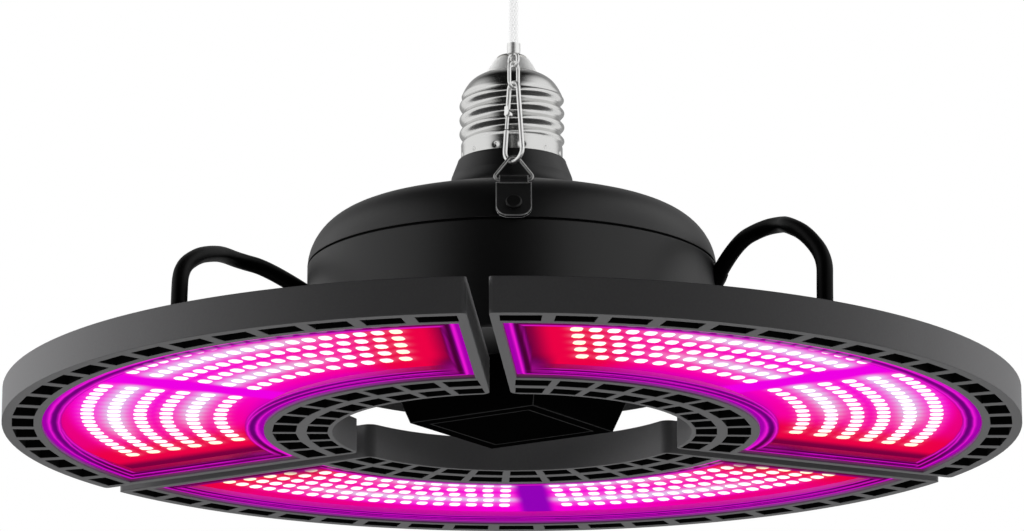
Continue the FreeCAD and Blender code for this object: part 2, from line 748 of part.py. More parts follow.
# Lower housing: a round cup with posts for the driver board and holes for the leads
POST_TURN = 30
floor_top = floor_z + floor_wall
inside_radius = housing_radius - housing_wall
lower_lip = seam_z - seam_gap / 2
cup = body("lower_cup")
del nodes["lower_cup"]
revolve(cup, sketch(cup, "XZ_Plane", [
    (0, floor_z), (housing_radius - floor_edge, floor_z),
    (housing_radius, floor_z + floor_edge, floor_edge), (housing_radius, lower_lip),
    (inside_radius, lower_lip), (inside_radius, floor_top), (0, floor_top)]))
post_reach = housing_radius - post_inset
post = (post_reach * cosine(POST_TURN), post_reach * sine(POST_TURN), post_radius)
post_sketch = sketch(cup, "XY_Plane", post, offset=floor_top)
panel_count = as_size(len(PANEL_TURNS))
panel_pitch = as_size(2 * HALF_SECTOR)
repeat(cup, pad(cup, post_sketch, post_height), post_sketch, panel_count, panel_pitch)
floor_holes = [(x * cosine(FIRST_TURN) - y * sine(FIRST_TURN), x * sine(FIRST_TURN) + y * cosine(FIRST_TURN),
                screw_radius) for x, y in bracket_spots]
hole_sketch = sketch(cup, "XY_Plane", *floor_holes, offset=floor_z)
repeat(cup, pocket(cup, hole_sketch, floor_wall, along=True), hole_sketch, panel_count, panel_pitch)
boot_z = floor_z + boot_rise
lead_spots = {side: around(turn, housing_radius, boot_z) for side, (turn, *_) in LEAD_EXITS.items()}
lead_drills = [drill(lead_spots[side], turn + swing, tilt, boot_radius + boot_play, boot_inside * 2)
               for side, (turn, swing, tilt, _) in LEAD_EXITS.items()]
drilled("lower_housing", cup, lead_drills)

# Seam seal: a ring set back between the two halves of the housing
seam = body("seam_seal")
upper_lip = seam_z + seam_gap / 2
revolve(seam, sketch(seam, "XZ_Plane", [
    (inside_radius, lower_lip), (housing_radius - seam_inset, lower_lip),
    (housing_radius - seam_inset, upper_lip), (inside_radius, upper_lip)]))

# Driver: a round board on the posts, with its coil and two capacitors
driver_z = floor_top + post_height
driver_top = driver_z + driver_thick
driver = body("driver_board")
driver_radius = housing_radius - driver_inset
pad(driver, sketch(driver, "XY_Plane", (0, 0, driver_radius), offset=driver_z), driver_thick)
coil = body("driver_coil")
coil_outline = box_outline(coil_shift - coil_length, coil_shift, coil_width / 2)
pad(coil, sketch(coil, "XY_Plane", coil_outline, offset=driver_top), coil_height)
capacitors = body("driver_capacitors")
for side in (1, -1):
    can = (capacitor_offset, capacitor_spread / 2 * side, capacitor_radius)
    pad(capacitors, sketch(capacitors, "XY_Plane", can, offset=driver_top), capacitor_height)

# Upper housing: a domed cover with a neck for the cap and a flat pad for the hanger strap
shoulder_radius = housing_radius - shoulder_inset
strap_foot_radius = housing_radius + strap_foot_out
strap_x = -sine(strap_tilt)
strap_z = cosine(strap_tilt)
foot_z = seam_z + strap_foot_lift


def on_strap(along, out):
    """A point of the hanger's side view: along the strap from its foot, and out from its back."""
    return strap_foot_radius + along * strap_x + out * strap_z, foot_z + along * strap_z - out * strap_x


inner_crown_z = -crown_drop - housing_wall
inner_shoulder = (shoulder_radius - housing_wall * sine(shoulder_tilt),
                  -shoulder_drop - housing_wall * cosine(shoulder_tilt))
spigot_radius = cap_bore - screw_play
dome = body("dome_blank", turn=hanger_turn)
del nodes["dome_blank"]
revolve(dome, sketch(dome, "XZ_Plane", [
    (wire_bore, inner_crown_z), (crown_radius, inner_crown_z),
    inner_shoulder + (housing_wall - crown_round,),
    (inside_radius, upper_lip, housing_wall - shoulder_round), (housing_radius, upper_lip),
    (shoulder_radius, -shoulder_drop, shoulder_round), (crown_radius, -crown_drop, crown_round),
    (neck_base, -neck_foot, -neck_fillet), (neck_radius, -neck_round),
    (neck_radius - neck_round, 0, neck_round), (spigot_radius, 0), (spigot_radius, spigot_height),
    (wire_bore, spigot_height)]))
pad_end = strap_length - strap_thick
strap_pad = [on_strap(strap_pad_start, 0), on_strap(strap_pad_start, -strap_pad_sink),
             on_strap(pad_end, -strap_pad_sink * 2), on_strap(pad_end, 0)]
pad(dome, sketch(dome, "XZ_Plane", strap_pad), strap_width - strap_pad_inset * 2, middle=True)
screw_spot = around(hanger_turn, *on_strap(strap_screw_place, 0))
drilled("upper_housing", dome, [drill(screw_spot, hanger_turn, strap_tilt, screw_radius, strap_drill_depth)])

# Hub box: a tapered square box under the middle of the housing, with a flat cover let into it
hub_z = floor_z - hub_height
hub = body("hub_box", turn=FIRST_TURN)
pad(hub, sketch(hub, "XY_Plane", square(hub_side), offset=hub_z), hub_height, draft=hub_draft)
hub_inside = square(hub_side - hub_wall * 2)
pocket(hub, sketch(hub, "XY_Plane", hub_inside, offset=floor_z), hub_height - hub_floor)
pocket(hub, sketch(hub, "XY_Plane", square(cover_side), offset=hub_z), cover_thick, along=True)
hub_cover = body("hub_cover", turn=FIRST_TURN)
pad(hub_cover, sketch(hub_cover, "XY_Plane", square(cover_side - cover_play * 2), offset=hub_z), cover_thick)

# Screw cap: a thin rolled shell, its insulator and its centre contact
cap_mean = cap_crest - cap_depth / 2
half_pitch = cap_pitch / 2
roll = (half_pitch * half_pitch / 4 + cap_depth * cap_depth / 4) / cap_depth
CREST_COUNT = 4
roll_z = cap_skirt + cap_thread_start
rolls = [(cap_mean, roll_z)]
for half_turn in range(1, 2 * CREST_COUNT):
    rolls.append((cap_mean, roll_z + half_pitch * half_turn, roll if half_turn % 2 else -roll))
cap_hole = cap_top_radius - cap_wall * 2
cap_inner_top = cap_height - cap_wall * 2
shell = body("screw_shell")
revolve(shell, sketch(shell, "XZ_Plane", [
    (cap_bore, 0), (cap_skirt_radius, 0), (cap_skirt_radius, cap_skirt), *rolls,
    (cap_top_radius, cap_height, cap_top_round), (cap_hole, cap_height), (cap_hole, cap_inner_top),
    (cap_bore, cap_inner_top - cap_inner_slope)]))
insulator = body("cap_insulator")
insulator_z = cap_height + insulator_height
plug_radius = cap_hole - screw_play
revolve(insulator, sketch(insulator, "XZ_Plane", [
    (0, cap_inner_top), (plug_radius, cap_inner_top), (plug_radius, cap_height), (cap_top_radius, cap_height),
    (insulator_top, insulator_z), (0, insulator_z)]))
contact = body("centre_contact")
revolve(contact, sketch(contact, "XZ_Plane", [
    (0, insulator_z), (contact_radius, insulator_z),
    (contact_radius - contact_height, insulator_z + contact_height, contact_height),
    (0, insulator_z + contact_height)]))

# Lead boots: tapered strain reliefs that lean upwards out of the housing's wall
for side, (turn, swing, tilt, _) in LEAD_EXITS.items():
    boot = body(f"{side}_lead_boot")
    revolve(boot, sketch(boot, "XZ_Plane", [
        (0, -boot_inside), (boot_radius, -boot_inside), (boot_radius, boot_shank), (boot_tip, boot_length),
        (0, boot_length)]))
    aim(boot, lead_spots[side], turn + swing, tilt)

# Leads: round cables that arch from their boots to the panels' glands.
# Between its two ends each route is a list of points, chosen to follow the real cable's arch.
LEAD_POINTS = {
    "right": [(62.5, -15.1, -22.1), (67.2, -21.4, -22.9), (68.7, -28.9, -25.1), (72.9, -34.6, -28.7),
              (77.3, -40.8, -36.3)],
    "rear": [(0.8, 67.5, -22.1), (1.2, 76.5, -22.3), (0.8, 84.0, -27.0), (0.2, 88.0, -35.0)],
    "left": [(-68.0, -3.8, -25.4), (-70.9, -11.9, -25.8), (-72.6, -21.1, -28.0), (-74.8, -30.3, -30.9),
             (-77.5, -38.8, -36.0)],
}
ARC_SHARE = 0.45


def cord_tube(label, points, radius):
    """A round tube along straight runs that are joined by the largest even arcs."""
    edges = []
    start = points[0]
    radii = []
    for before, corner, after in zip(points, points[1:], points[2:]):
        back = (before - corner)
        ahead = (after - corner)
        trim = ARC_SHARE * min(back.Length, ahead.Length)
        turn = math.pi - back.getAngle(ahead)
        radii.append(trim / math.tan(turn / 2))
        back.normalize()
        ahead.normalize()
        first, last = corner + back * trim, corner + ahead * trim
        inward = back + ahead
        inward.normalize()
        bulge = corner + inward * (radii[-1] / math.cos(turn / 2) - radii[-1])
        edges.append(Part.LineSegment(start, first).toShape())
        edges.append(Part.Arc(first, bulge, last).toShape())
        start = last
    edges.append(Part.LineSegment(start, points[-1]).toShape())
    path = Part.Wire(edges)
    section = Part.Wire([Part.makeCircle(radius, points[0], points[1] - points[0])])
    tube = doc.addObject("Part::Feature", label)
    tube.Label = label
    tube.Shape = path.makePipeShell([section], True, False)
    expected = math.pi * radius ** 2 * path.Length
    print(label, "length", round(path.Length, 1), "radii", [round(r, 1) for r in radii],
          "volume share", round(tube.Shape.Volume / expected, 4))
    nodes[label] = tube
    return tube


def as_vector(spot):
    return Vector(*(part.value for part in spot))


for side, (turn, swing, tilt, run) in LEAD_EXITS.items():
    distances = (boot_length, boot_length + run)
    starts = [ahead(lead_spots[side], turn + swing, tilt, distance) for distance in distances]
    ends = [around(PANEL_TURNS[side], gland_reach, panel_z + gland_top + lift) for lift in (lead_drop, 0)]
    middles = [Vector(*point) for point in LEAD_POINTS[side]]
    route = [as_vector(spot) for spot in starts] + middles + [as_vector(spot) for spot in ends]
    cord_tube(f"{side}_lead", route, lead_radius.value)

# Hanger strap: a steel tab on the dome's pad, its top curled round the ring's bar
curl_along = strap_length + curl_lift
curl_x, curl_z = on_strap(curl_along, strap_thick / 2)
strap = body("strap_blank", turn=hanger_turn)
del nodes["strap_blank"]
strap_side = [on_strap(0, 0), on_strap(0, strap_thick),
              on_strap(strap_length, strap_thick), on_strap(strap_length, 0)]
plate = pad(strap, sketch(strap, "XZ_Plane", strap_side), strap_width, middle=True)
doc.recompute()
foot_edges = [f"Edge{number}" for number, edge in enumerate(plate.Shape.Edges, 1)
              if abs(abs(edge.CenterOfMass.y) - strap_width.value / 2) < 1e-6
              and edge.CenterOfMass.z < foot_z.value + strap_thick.value / 2]
round_edges(strap, plate, foot_edges, strap_corner)
pad(strap, sketch(strap, "XZ_Plane", (curl_x, curl_z, curl_radius)), curl_width, middle=True)
curl_hole = (curl_x, curl_z, ring_wire + ring_play)
pocket(strap, sketch(strap, "XZ_Plane", curl_hole, offset=curl_width / 2), curl_width)
strap_drill = drill(screw_spot, hanger_turn, strap_tilt, screw_radius + screw_play, strap_drill_depth)
drilled("hanger_strap", strap, [strap_drill])

# Strap screw: a pan head on the strap's face
strap_screw = body("strap_screw")
revolve(strap_screw, sketch(strap_screw, "XZ_Plane", [
    (0, -strap_screw_length), (screw_radius - screw_play, -strap_screw_length), (screw_radius - screw_play, 0),
    (strap_screw_head, 0), (strap_screw_head, strap_screw_lift - strap_screw_round),
    (strap_screw_head - strap_screw_round, strap_screw_lift, strap_screw_round), (0, strap_screw_lift)]))
strap_face = around(hanger_turn, *on_strap(strap_screw_place, strap_thick))
aim(strap_screw, strap_face, hanger_turn, strap_tilt)

# Hanger ring: a bent wire triangle, whose bar turns in the strap's curl
slope_cos, slope_sin = cosine(ring_slope), sine(ring_slope)
tip_z = curl_z + ring_half * slope_sin / slope_cos
corner_trim = ring_corner * (1 + slope_cos) / slope_sin
bar_end = ring_half - corner_trim
leg_low = (ring_half - corner_trim * slope_cos, curl_z + corner_trim * slope_sin)
apex_trim = ring_apex * slope_sin / slope_cos
leg_high = (apex_trim * slope_cos, tip_z - apex_trim * slope_sin)
apex_z = tip_z - ring_apex / slope_cos + ring_apex
hanger_ring = body("hanger_ring", turn=hanger_turn)
ring_path = sketch(hanger_ring, "YZ_Plane", [
    (0, curl_z), (bar_end, curl_z), leg_low + (ring_corner,), leg_high,
    (-leg_high[0], leg_high[1], ring_apex), (-leg_low[0], leg_low[1]), (-bar_end, curl_z, ring_corner)],
    offset=curl_x)
wire_along(hanger_ring, ring_path, (curl_x, curl_z), "XZ_Plane", 0, ring_wire)

# Snap hook: one bent wire, wide below and narrow above, with a tab and rivet for its gate
hook_low = apex_z - hook_wire - ring_wire - chain_play
hook_high = hook_low + hook_height
bow_z = hook_low + hook_bow
arch_z = hook_high - hook_top
lean_sin = (hook_bow - hook_top) / (arch_z - bow_z)
lean_cos = root(1 - lean_sin * lean_sin)
hook_frame_turn = hanger_turn + QUARTER_TURN - hook_turn
hook_place = (curl_x * cosine(hanger_turn), curl_x * sine(hanger_turn))


def on_gate_side(radius, middle_z, along):
    """A point of the hook's gate side: on a bend of this radius, then along towards the top."""
    return -radius * lean_cos + along * lean_sin, middle_z + radius * lean_sin + along * lean_cos


nose = on_gate_side(hook_bow, bow_z, hook_nose)
stub = on_gate_side(hook_top, arch_z, -hook_stub)
pivot = on_gate_side(hook_top, arch_z, -hook_stub - gate_play - gate_eye)
hook = body("snap_hook")
place(hook, *hook_place, turn=hook_frame_turn)
low_left = on_gate_side(hook_bow, bow_z, 0)
high_left = on_gate_side(hook_top, arch_z, 0)
hook_path = sketch(hook, "XZ_Plane", [
    nose, low_left, (0, hook_low, hook_bow), (-low_left[0], low_left[1], hook_bow),
    (-high_left[0], high_left[1]), (0, hook_high, hook_top), high_left + (hook_top,), stub], closed=False)
wire_along(hook, hook_path, (nose[0], 0), "XY_Plane", nose[1], hook_wire)
tab_round = rivet_radius + rivet_play * 2
tab = [(pivot[0] - tab_round, pivot[1]), (pivot[0], pivot[1] - tab_round, tab_round),
       (pivot[0] + tab_round, pivot[1], tab_round), (stub[0] + tab_round, stub[1] + gate_eye),
       (stub[0] - tab_round, stub[1] + gate_eye)]
pad(hook, sketch(hook, "XZ_Plane", tab, offset=tab_start), tab_thick)
rivet = (pivot[0], pivot[1], rivet_radius)
rivet_end = gate_eye_thick + rivet_play * 2
pad(hook, sketch(hook, "XZ_Plane", rivet, offset=-rivet_end), rivet_end + tab_start + tab_thick / 2)
rivet_cap = (pivot[0], pivot[1], rivet_head)
pad(hook, sketch(hook, "XZ_Plane", rivet_cap, offset=-rivet_end), rivet_radius, back=True)

# Hook gate: a sprung wire with an eye on the rivet, closing the gap above the hook's nose
gate = body("hook_gate")
place(gate, *hook_place, turn=hook_frame_turn)
gate_disc = (pivot[0], pivot[1], gate_eye)
pad(gate, sketch(gate, "XZ_Plane", gate_disc, offset=-gate_start), gate_eye_thick)
gate_foot = on_gate_side(hook_bow, bow_z, hook_nose + gate_play)
gate_reach = tab_round + rivet_play
gate_head = on_gate_side(hook_top, arch_z, -hook_stub - gate_play - gate_eye - gate_reach)
gate_path = sketch(gate, "XZ_Plane", [gate_foot, gate_head], closed=False)
wire_along(gate, gate_path, (gate_foot[0], 0), "XY_Plane", gate_foot[1], gate_wire)
gate_hole = (pivot[0], pivot[1], rivet_radius + rivet_play)
pocket(gate, sketch(gate, "XZ_Plane", gate_hole, offset=gate_start), gate_start * 2)


def oval(half, low_z, straight):
    """A chain link's outline: two round ends and two straight sides, drawn from one side's foot."""
    first_z = low_z + half
    last_z = first_z + straight
    return [(half, first_z, half), (half, last_z), (0, last_z + half, half), (-half, last_z, half),
            (-half, first_z), (0, low_z, half)]


# Chain link: joins the hook's top to the rope's ring
link_low = hook_high - hook_wire - link_wire - chain_play
link_high = link_low + link_round * 2 + link_straight
link = body("chain_link")
place(link, *hook_place, turn=hook_frame_turn + QUARTER_TURN)
link_path = sketch(link, "XZ_Plane", oval(link_round, link_low, link_straight))
wire_along(link, link_path, (link_round, 0), "XY_Plane", link_low + link_round, link_wire)

# Rope ferrule: a pressed sleeve with a small ring through the link
rope_ring_low = link_high - link_wire * 2 - chain_play
ferrule_z = rope_ring_low + rope_ring_round * 2 - link_wire / 2
ferrule = body("rope_ferrule")
place(ferrule, *hook_place, turn=hook_frame_turn)
rope_ring_path = sketch(ferrule, "XZ_Plane", oval(rope_ring_round, rope_ring_low, link_wire))
rope_ring_middle = rope_ring_low + rope_ring_round
wire_along(ferrule, rope_ring_path, (rope_ring_round, 0), "XY_Plane", rope_ring_middle, link_wire)
sleeve = (0, 0, ferrule_radius)
pad(ferrule, sketch(ferrule, "XY_Plane", sleeve, offset=ferrule_z + link_wire), ferrule_length)

# Safety rope: a coated steel rope, pulled straight up
rope_z = ferrule_z + link_wire + ferrule_length
rope = body("safety_rope")
place(rope, *hook_place)
pad(rope, sketch(rope, "XY_Plane", (0, 0, rope_radius), offset=rope_z), rope_length)

# Rope eye: a pressed end fitting with a flat eye for a ceiling hook
eye_z = rope_z + rope_length
eye = body("rope_eye")
place(eye, *hook_place, turn=hanger_turn)
pad(eye, sketch(eye, "XY_Plane", sleeve, offset=eye_z), ferrule_length)
eye_middle = eye_z + ferrule_length + eye_rise
pad(eye, sketch(eye, "YZ_Plane", (0, eye_middle, eye_outer)), eye_thick, middle=True)
pocket(eye, sketch(eye, "YZ_Plane", (0, eye_middle, eye_bore), offset=eye_thick / 2), eye_thick)

doc.recompute()
for part in doc.Objects:
    if "Invalid" in part.State or "Error" in part.State:
        raise RuntimeError(f"{part.Label} failed: {part.State}")
for label, piece in nodes.items():
    if piece.Shape.isNull() or not piece.Shape.isValid() or not piece.Shape.Solids:
        raise RuntimeError(f"{label} has no valid solid")

os.makedirs("parts", exist_ok=True)
for label, piece in nodes.items():
    piece.Shape.exportStep(f"parts/{label}.step")
print(len(nodes), "pieces written")
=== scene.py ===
import math

import bpy
import numpy as np
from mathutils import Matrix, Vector


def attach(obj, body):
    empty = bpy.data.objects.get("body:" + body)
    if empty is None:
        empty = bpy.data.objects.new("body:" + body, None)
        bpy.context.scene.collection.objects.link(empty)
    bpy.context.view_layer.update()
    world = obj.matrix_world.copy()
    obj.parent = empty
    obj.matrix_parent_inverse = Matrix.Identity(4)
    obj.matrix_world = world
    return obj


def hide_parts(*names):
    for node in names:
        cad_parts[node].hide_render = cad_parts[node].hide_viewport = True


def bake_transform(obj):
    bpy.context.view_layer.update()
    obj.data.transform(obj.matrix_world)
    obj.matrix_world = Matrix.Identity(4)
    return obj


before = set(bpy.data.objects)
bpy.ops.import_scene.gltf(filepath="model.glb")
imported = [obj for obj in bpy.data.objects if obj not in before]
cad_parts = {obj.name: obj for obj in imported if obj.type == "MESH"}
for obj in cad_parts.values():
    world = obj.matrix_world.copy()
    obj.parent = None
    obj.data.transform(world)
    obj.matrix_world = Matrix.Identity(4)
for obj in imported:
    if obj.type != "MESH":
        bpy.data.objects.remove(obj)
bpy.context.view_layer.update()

# Panel frames
# Three die-cast aluminium trays, each a third of a ring, in satin grey paint. Vents run through
# them along both edges and cooling fins stand on their backs. The vents' walls are painted near
# black as painted shade, and the walls round the windows have the lamps' light painted on them.
MM = 0.001
SIDES = {"right": -30, "rear": 90, "left": 210}
HALF_SECTOR = math.radians(60)
PANEL_Z = -69.5


class Value:
    """A number or colour that changes over a surface. Operators on a number add Math nodes."""

    def __init__(self, nodes, socket):
        self.nodes, self.socket = nodes, socket

    def math(self, operation, first, second=0.0):
        return self.nodes.node("ShaderNodeMath", {"operation": operation}, {0: first, 1: second})

    def __add__(self, other):
        return self.math("ADD", self, other)

    def __sub__(self, other):
        return self.math("SUBTRACT", self, other)

    def __rsub__(self, other):
        return self.math("SUBTRACT", other, self)

    def __mul__(self, other):
        return self.math("MULTIPLY", self, other)

    def __pow__(self, other):
        return self.math("POWER", self, other)

    def __gt__(self, other):
        return self.math("GREATER_THAN", self, other)

    def __lt__(self, other):
        return self.math("LESS_THAN", self, other)

    def __or__(self, other):
        return self.math("MAXIMUM", self, other)

    def __abs__(self):
        return self.math("ABSOLUTE", self)

    __radd__ = __add__
    __rmul__ = __mul__


class Nodes:
    """A node tree, to which node() adds any node: its settings first, then its sockets."""

    def __init__(self, tree):
        self.tree = tree

    def feed(self, socket, thing):
        if isinstance(thing, Value):
            self.tree.links.new(thing.socket, socket)
        else:
            socket.default_value = thing

    def node(self, kind, settings, inputs, output=0):
        made = self.tree.nodes.new(kind)
        for name, setting in settings.items():
            setattr(made, name, setting)
        for name, thing in inputs.items():
            self.feed(made.inputs[name], thing)
        return Value(self, made.outputs[output])

    def between(self, factor, first, second):
        """The colour that lies between two others by this factor."""
        return self.node("ShaderNodeMix", {"data_type": "RGBA"},
                         {0: factor, 6: first, 7: second}, 2)

    def rising(self, value, start, end):
        """0 at the start and before it, 1 at the end and beyond, with a smooth change between."""
        return self.node("ShaderNodeMapRange", {"interpolation_type": "SMOOTHSTEP"},
                         {0: value, 1: start, 2: end})


class Finish(Nodes):
    """A Principled material, whose plain sockets are given by name."""

    EDGE_SAMPLES, SOFT_SAMPLES = 8, 6
    EDGE_FLAT, EDGE_SHARP = 0.995, 0.9

    def __init__(self, name, sockets):
        self.material = bpy.data.materials.new(name)
        self.material.use_nodes = True
        super().__init__(self.material.node_tree)
        self.shader = self.tree.nodes["Principled BSDF"]
        self.put(sockets)

    def put(self, sockets):
        for name, thing in sockets.items():
            self.feed(self.shader.inputs[name], thing)

    def place(self):
        return self.node("ShaderNodeTexCoord", {}, {}, "Object")

    def axes(self):
        """The three coordinates of a point on the piece, in millimetres."""
        scaled = self.node("ShaderNodeVectorMath", {"operation": "SCALE"},
                           {0: self.place(), "Scale": 1 / MM})
        return [self.node("ShaderNodeSeparateXYZ", {}, {0: scaled}, axis) for axis in range(3)]

    def grain(self, size, detail=2.0, stretch=(1, 1, 1)):
        """Cloudy noise from 0 to 1 with patches of about this size in millimetres."""
        laid = self.node("ShaderNodeMapping", {}, {"Vector": self.place(), "Scale": stretch})
        return self.node("ShaderNodeTexNoise", {},
                         {"Vector": laid, "Scale": 1 / (size * MM), "Detail": detail})

    def rounded(self, radius, samples):
        """The surface's direction, with the edges rounded by this radius in millimetres."""
        return self.node("ShaderNodeBevel", {"samples": samples}, {"Radius": radius * MM})

    def edges(self, width):
        """1 along the sharp edges of a piece, within this width in millimetres, and 0 elsewhere."""
        flat = self.node("ShaderNodeNewGeometry", {}, {}, "True Normal")
        turned = self.node("ShaderNodeVectorMath", {"operation": "DOT_PRODUCT"},
                           {0: self.rounded(width, self.EDGE_SAMPLES), 1: flat}, "Value")
        return self.node("ShaderNodeMapRange", {},
                         {0: turned, 1: self.EDGE_FLAT, 2: self.EDGE_SHARP})

    def relief(self, height, depth, soft_edge):
        """Raises the surface by height times depth, over edges rounded by soft_edge, in millimetres."""
        self.put({"Normal": self.node("ShaderNodeBump", {}, {
            "Height": height, "Distance": depth * MM, "Strength": 1.0,
            "Normal": self.rounded(soft_edge, self.SOFT_SAMPLES)})})

    def mottle(self, size, tones=(), edge_highlight=(), rough=(), detail=2.0, stretch=(1, 1, 1)):
        """Clouds the finish in patches of this size in millimetres, and returns the cloud.
        tones: the colours at its two ends, then the width and colour of a painted highlight along the
        edges.
        rough: the least roughness, and what the cloud adds to it."""
        cloud = self.grain(size, detail, stretch)
        if tones:
            colour = self.between(cloud, *tones)
            # The sharp edges get a pale painted highlight.
            if edge_highlight:
                width, highlight_tone = edge_highlight
                colour = self.between(self.edges(width), colour, highlight_tone)
            self.put({"Base Color": colour})
        if rough:
            least, more = rough
            self.put({"Roughness": least + more * cloud})
        return cloud


def dress(finish, *names):
    """Gives CAD pieces this finish."""
    for name in names:
        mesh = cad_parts[name].data
        mesh.materials.clear()
        mesh.materials.append(finish.material)


def every(piece):
    """The names of one kind of piece on the three panels."""
    return [f"{side}_{piece}" for side in SIDES]


def within(value, low, high):
    """1 where a value lies between two limits, and 0 elsewhere."""
    return (value > low) * (value < high)


NO_LIGHT = (0, 0, 0, 1)
VENT_ROWS = ((117.0, 122.9), (52.9, 59.3), (45.1, 50.9))
VENT_LOW, VENT_HIGH = PANEL_Z + 0.08, PANEL_Z + 5.5
WINDOW_IN, WINDOW_OUT = 60.8, 115.5
END_TURNS, END_WALL = (-90, 30, 150), 3.6
GREY_TONES = (0.135, 0.134, 0.137, 1), (0.16, 0.159, 0.162, 1)
VENT_SHADE = (0.002, 0.002, 0.002, 1)
PAINT_ROUGH, SPECKLE_ROUGH, VENT_ROUGH = 0.42, 0.1, 0.4
SPILL_LOW, SPILL_HIGH = PANEL_Z + 0.4, PANEL_Z + 4.5
SPILL_NEAR, SPILL_FAR = 12.0, 34.0
SPILL_PINK, SPILL_RED = (0.75, 0.0, 0.36, 1), (0.5, 0.0, 0.06, 1)
SPILL_PURPLE, SPILL_WINE = (0.15, 0.0, 0.17, 1), (0.06, 0.0, 0.03, 1)
cast_grey = Finish("cast_grey", {"Specular IOR Level": 0.08, "Emission Strength": 1.0})
x, y, z = cast_grey.axes()
from_axis = (x * x + y * y) ** 0.5
# Marks the vents' walls, which are painted near black as painted shade and made rougher.
in_vents = within(from_axis, *VENT_ROWS[0])
for vent_row in VENT_ROWS[1:]:
    in_vents = in_vents | within(from_axis, *vent_row)
near_window = within(from_axis, WINDOW_IN, WINDOW_OUT)
near_ends = 0.0
for turn in END_TURNS:
    ray = math.radians(turn)
    aside = abs(x * math.sin(ray) - y * math.cos(ray))
    this_side = x * math.cos(ray) + y * math.sin(ray) > 0
    inside_ends = 1 - (aside < END_WALL) * this_side
    in_vents = in_vents * inside_ends
    near_window = near_window * inside_ends
    near_ends = cast_grey.rising(aside, SPILL_FAR, SPILL_NEAR) * this_side | near_ends
in_vents = in_vents * within(z, VENT_LOW, VENT_HIGH)
# Painted light: the window walls glow as if lit by the lamps, purple low down and pink higher up,
# turning wine red and red near the panel ends.
painted_glow_mask = near_window * within(z, SPILL_LOW, SPILL_HIGH)
painted_glow_tone = cast_grey.between(cast_grey.rising(z, SPILL_LOW, SPILL_HIGH),
                               cast_grey.between(near_ends, SPILL_PURPLE, SPILL_WINE),
                               cast_grey.between(near_ends, SPILL_PINK, SPILL_RED))
speckle = cast_grey.grain(0.5, detail=3)
paint_tone = cast_grey.between(speckle, *GREY_TONES)
cast_grey.put({"Base Color": cast_grey.between(in_vents, paint_tone, VENT_SHADE),
               "Roughness": PAINT_ROUGH + SPECKLE_ROUGH * speckle + VENT_ROUGH * in_vents,
               "Emission Color": cast_grey.between(painted_glow_mask, NO_LIGHT, painted_glow_tone)})
cast_grey.relief(speckle, depth=0.02, soft_edge=0.35)
dress(cast_grey, *every("panel_frame"))

# Lens seals
# A flat frame of clear silicone between each lens and its tray, cut from sheet and pressed in place.
# Its purple glow is painted light, an emission colour standing in for the lamps' light inside it.
SEAL_TONE = (0.02, 0.004, 0.02, 1)
SEAL_GLOWS = (0.06, 0.0, 0.08, 1), (0.1, 0.0, 0.1, 1)
silicone = Finish("silicone", {"Base Color": SEAL_TONE, "Emission Strength": 1.0,
                               "Specular IOR Level": 0.0})
seal_cloud = silicone.mottle(1.2, rough=(0.55, 0.2))
# Painted light: the seal's purple glow, clouded between two shades.
silicone.put({"Emission Color": silicone.between(seal_cloud, *SEAL_GLOWS)})
dress(silicone, *every("lens_seal"))

# Lamp boards
# White-faced aluminium boards, each lying in its tray behind the lens, with a near black base colour.
# The lamps' light on them is painted light, an emission colour: magenta among the lamps with pale
# halos round them, red where the last lamps stand, and dark wine red at the ends without lamps.
LAMP_ROWS = ((71.8, 11), (78.6, 13), (85.0, 14), (91.4, 16), (97.8, 18), (104.3, 19))
COOL_ROWS = (1, 4)
LAMP_START = math.radians(4.6)
LAMP_END_GAP = 20.5
BOARD_IN, BOARD_OUT, BOARD_END = 62.7, 113.6, 6.5
BOARD_LOW, BOARD_HIGH = PANEL_Z + 3.2, PANEL_Z + 4.2
BOARD_ROWS, BOARD_COLUMNS = 84, 300
GLOW = "glow"


def end_angle(reach, inset):
    """The angle from a panel's middle to its end line, which is inset from the dividing line."""
    return HALF_SECTOR - np.arcsin(inset / reach)


def on_panel(reach, angle, height, turn):
    """Points at these reaches, angles from the panel's middle and heights, turned to their panel."""
    angle = angle + math.radians(turn)
    rows = np.broadcast_arrays(reach * np.cos(angle), reach * np.sin(angle), height)
    return np.stack(rows, axis=-1) * MM


def quads(rows, columns, round_rows=False, round_columns=False):
    """Faces between the neighbours of a grid whose points are numbered along its rows."""
    row = np.arange(rows if round_rows else rows - 1)[:, None]
    column = np.arange(columns if round_columns else columns - 1)[None, :]
    next_row, next_column = (row + 1) % rows, (column + 1) % columns
    corners = np.broadcast_arrays(row * columns + column, row * columns + next_column,
                                  next_row * columns + next_column, next_row * columns + column)
    return np.stack(corners, axis=-1).reshape(-1, 4)


def piece(name, points, faces, finish, slot, body=None, stands_for=(), crease=40):
    """A mesh object from whole arrays, smooth but for edges sharper than crease degrees."""
    mesh = bpy.data.meshes.new(name)
    mesh.from_pydata(points.reshape(-1, 3).tolist(), [], [list(face) for face in faces])
    mesh.polygons.foreach_set("use_smooth", np.ones(len(mesh.polygons), bool))
    mesh.set_sharp_from_angle(angle=math.radians(crease))
    mesh.materials.append(finish.material)
    made = bpy.data.objects.new(name, mesh)
    bpy.context.scene.collection.objects.link(made)
    if stands_for:
        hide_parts(*stands_for)
    if body:
        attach(made, body)
    return made


def store_glow(made, colours):
    """Stores one colour for each point of the mesh, for its finish to read: a lamp's own light, or the
    painted glow of a board or a lens.
    """
    glow = made.data.attributes.new(GLOW, "FLOAT_COLOR", "POINT")
    glow.data.foreach_set("color", colours.astype(np.float32).ravel())


def own_glow(finish, part="Color"):
    """What tint() stored on the piece: its colour, or its Alpha."""
    return finish.node("ShaderNodeAttribute", {"attribute_name": GLOW}, {}, part)


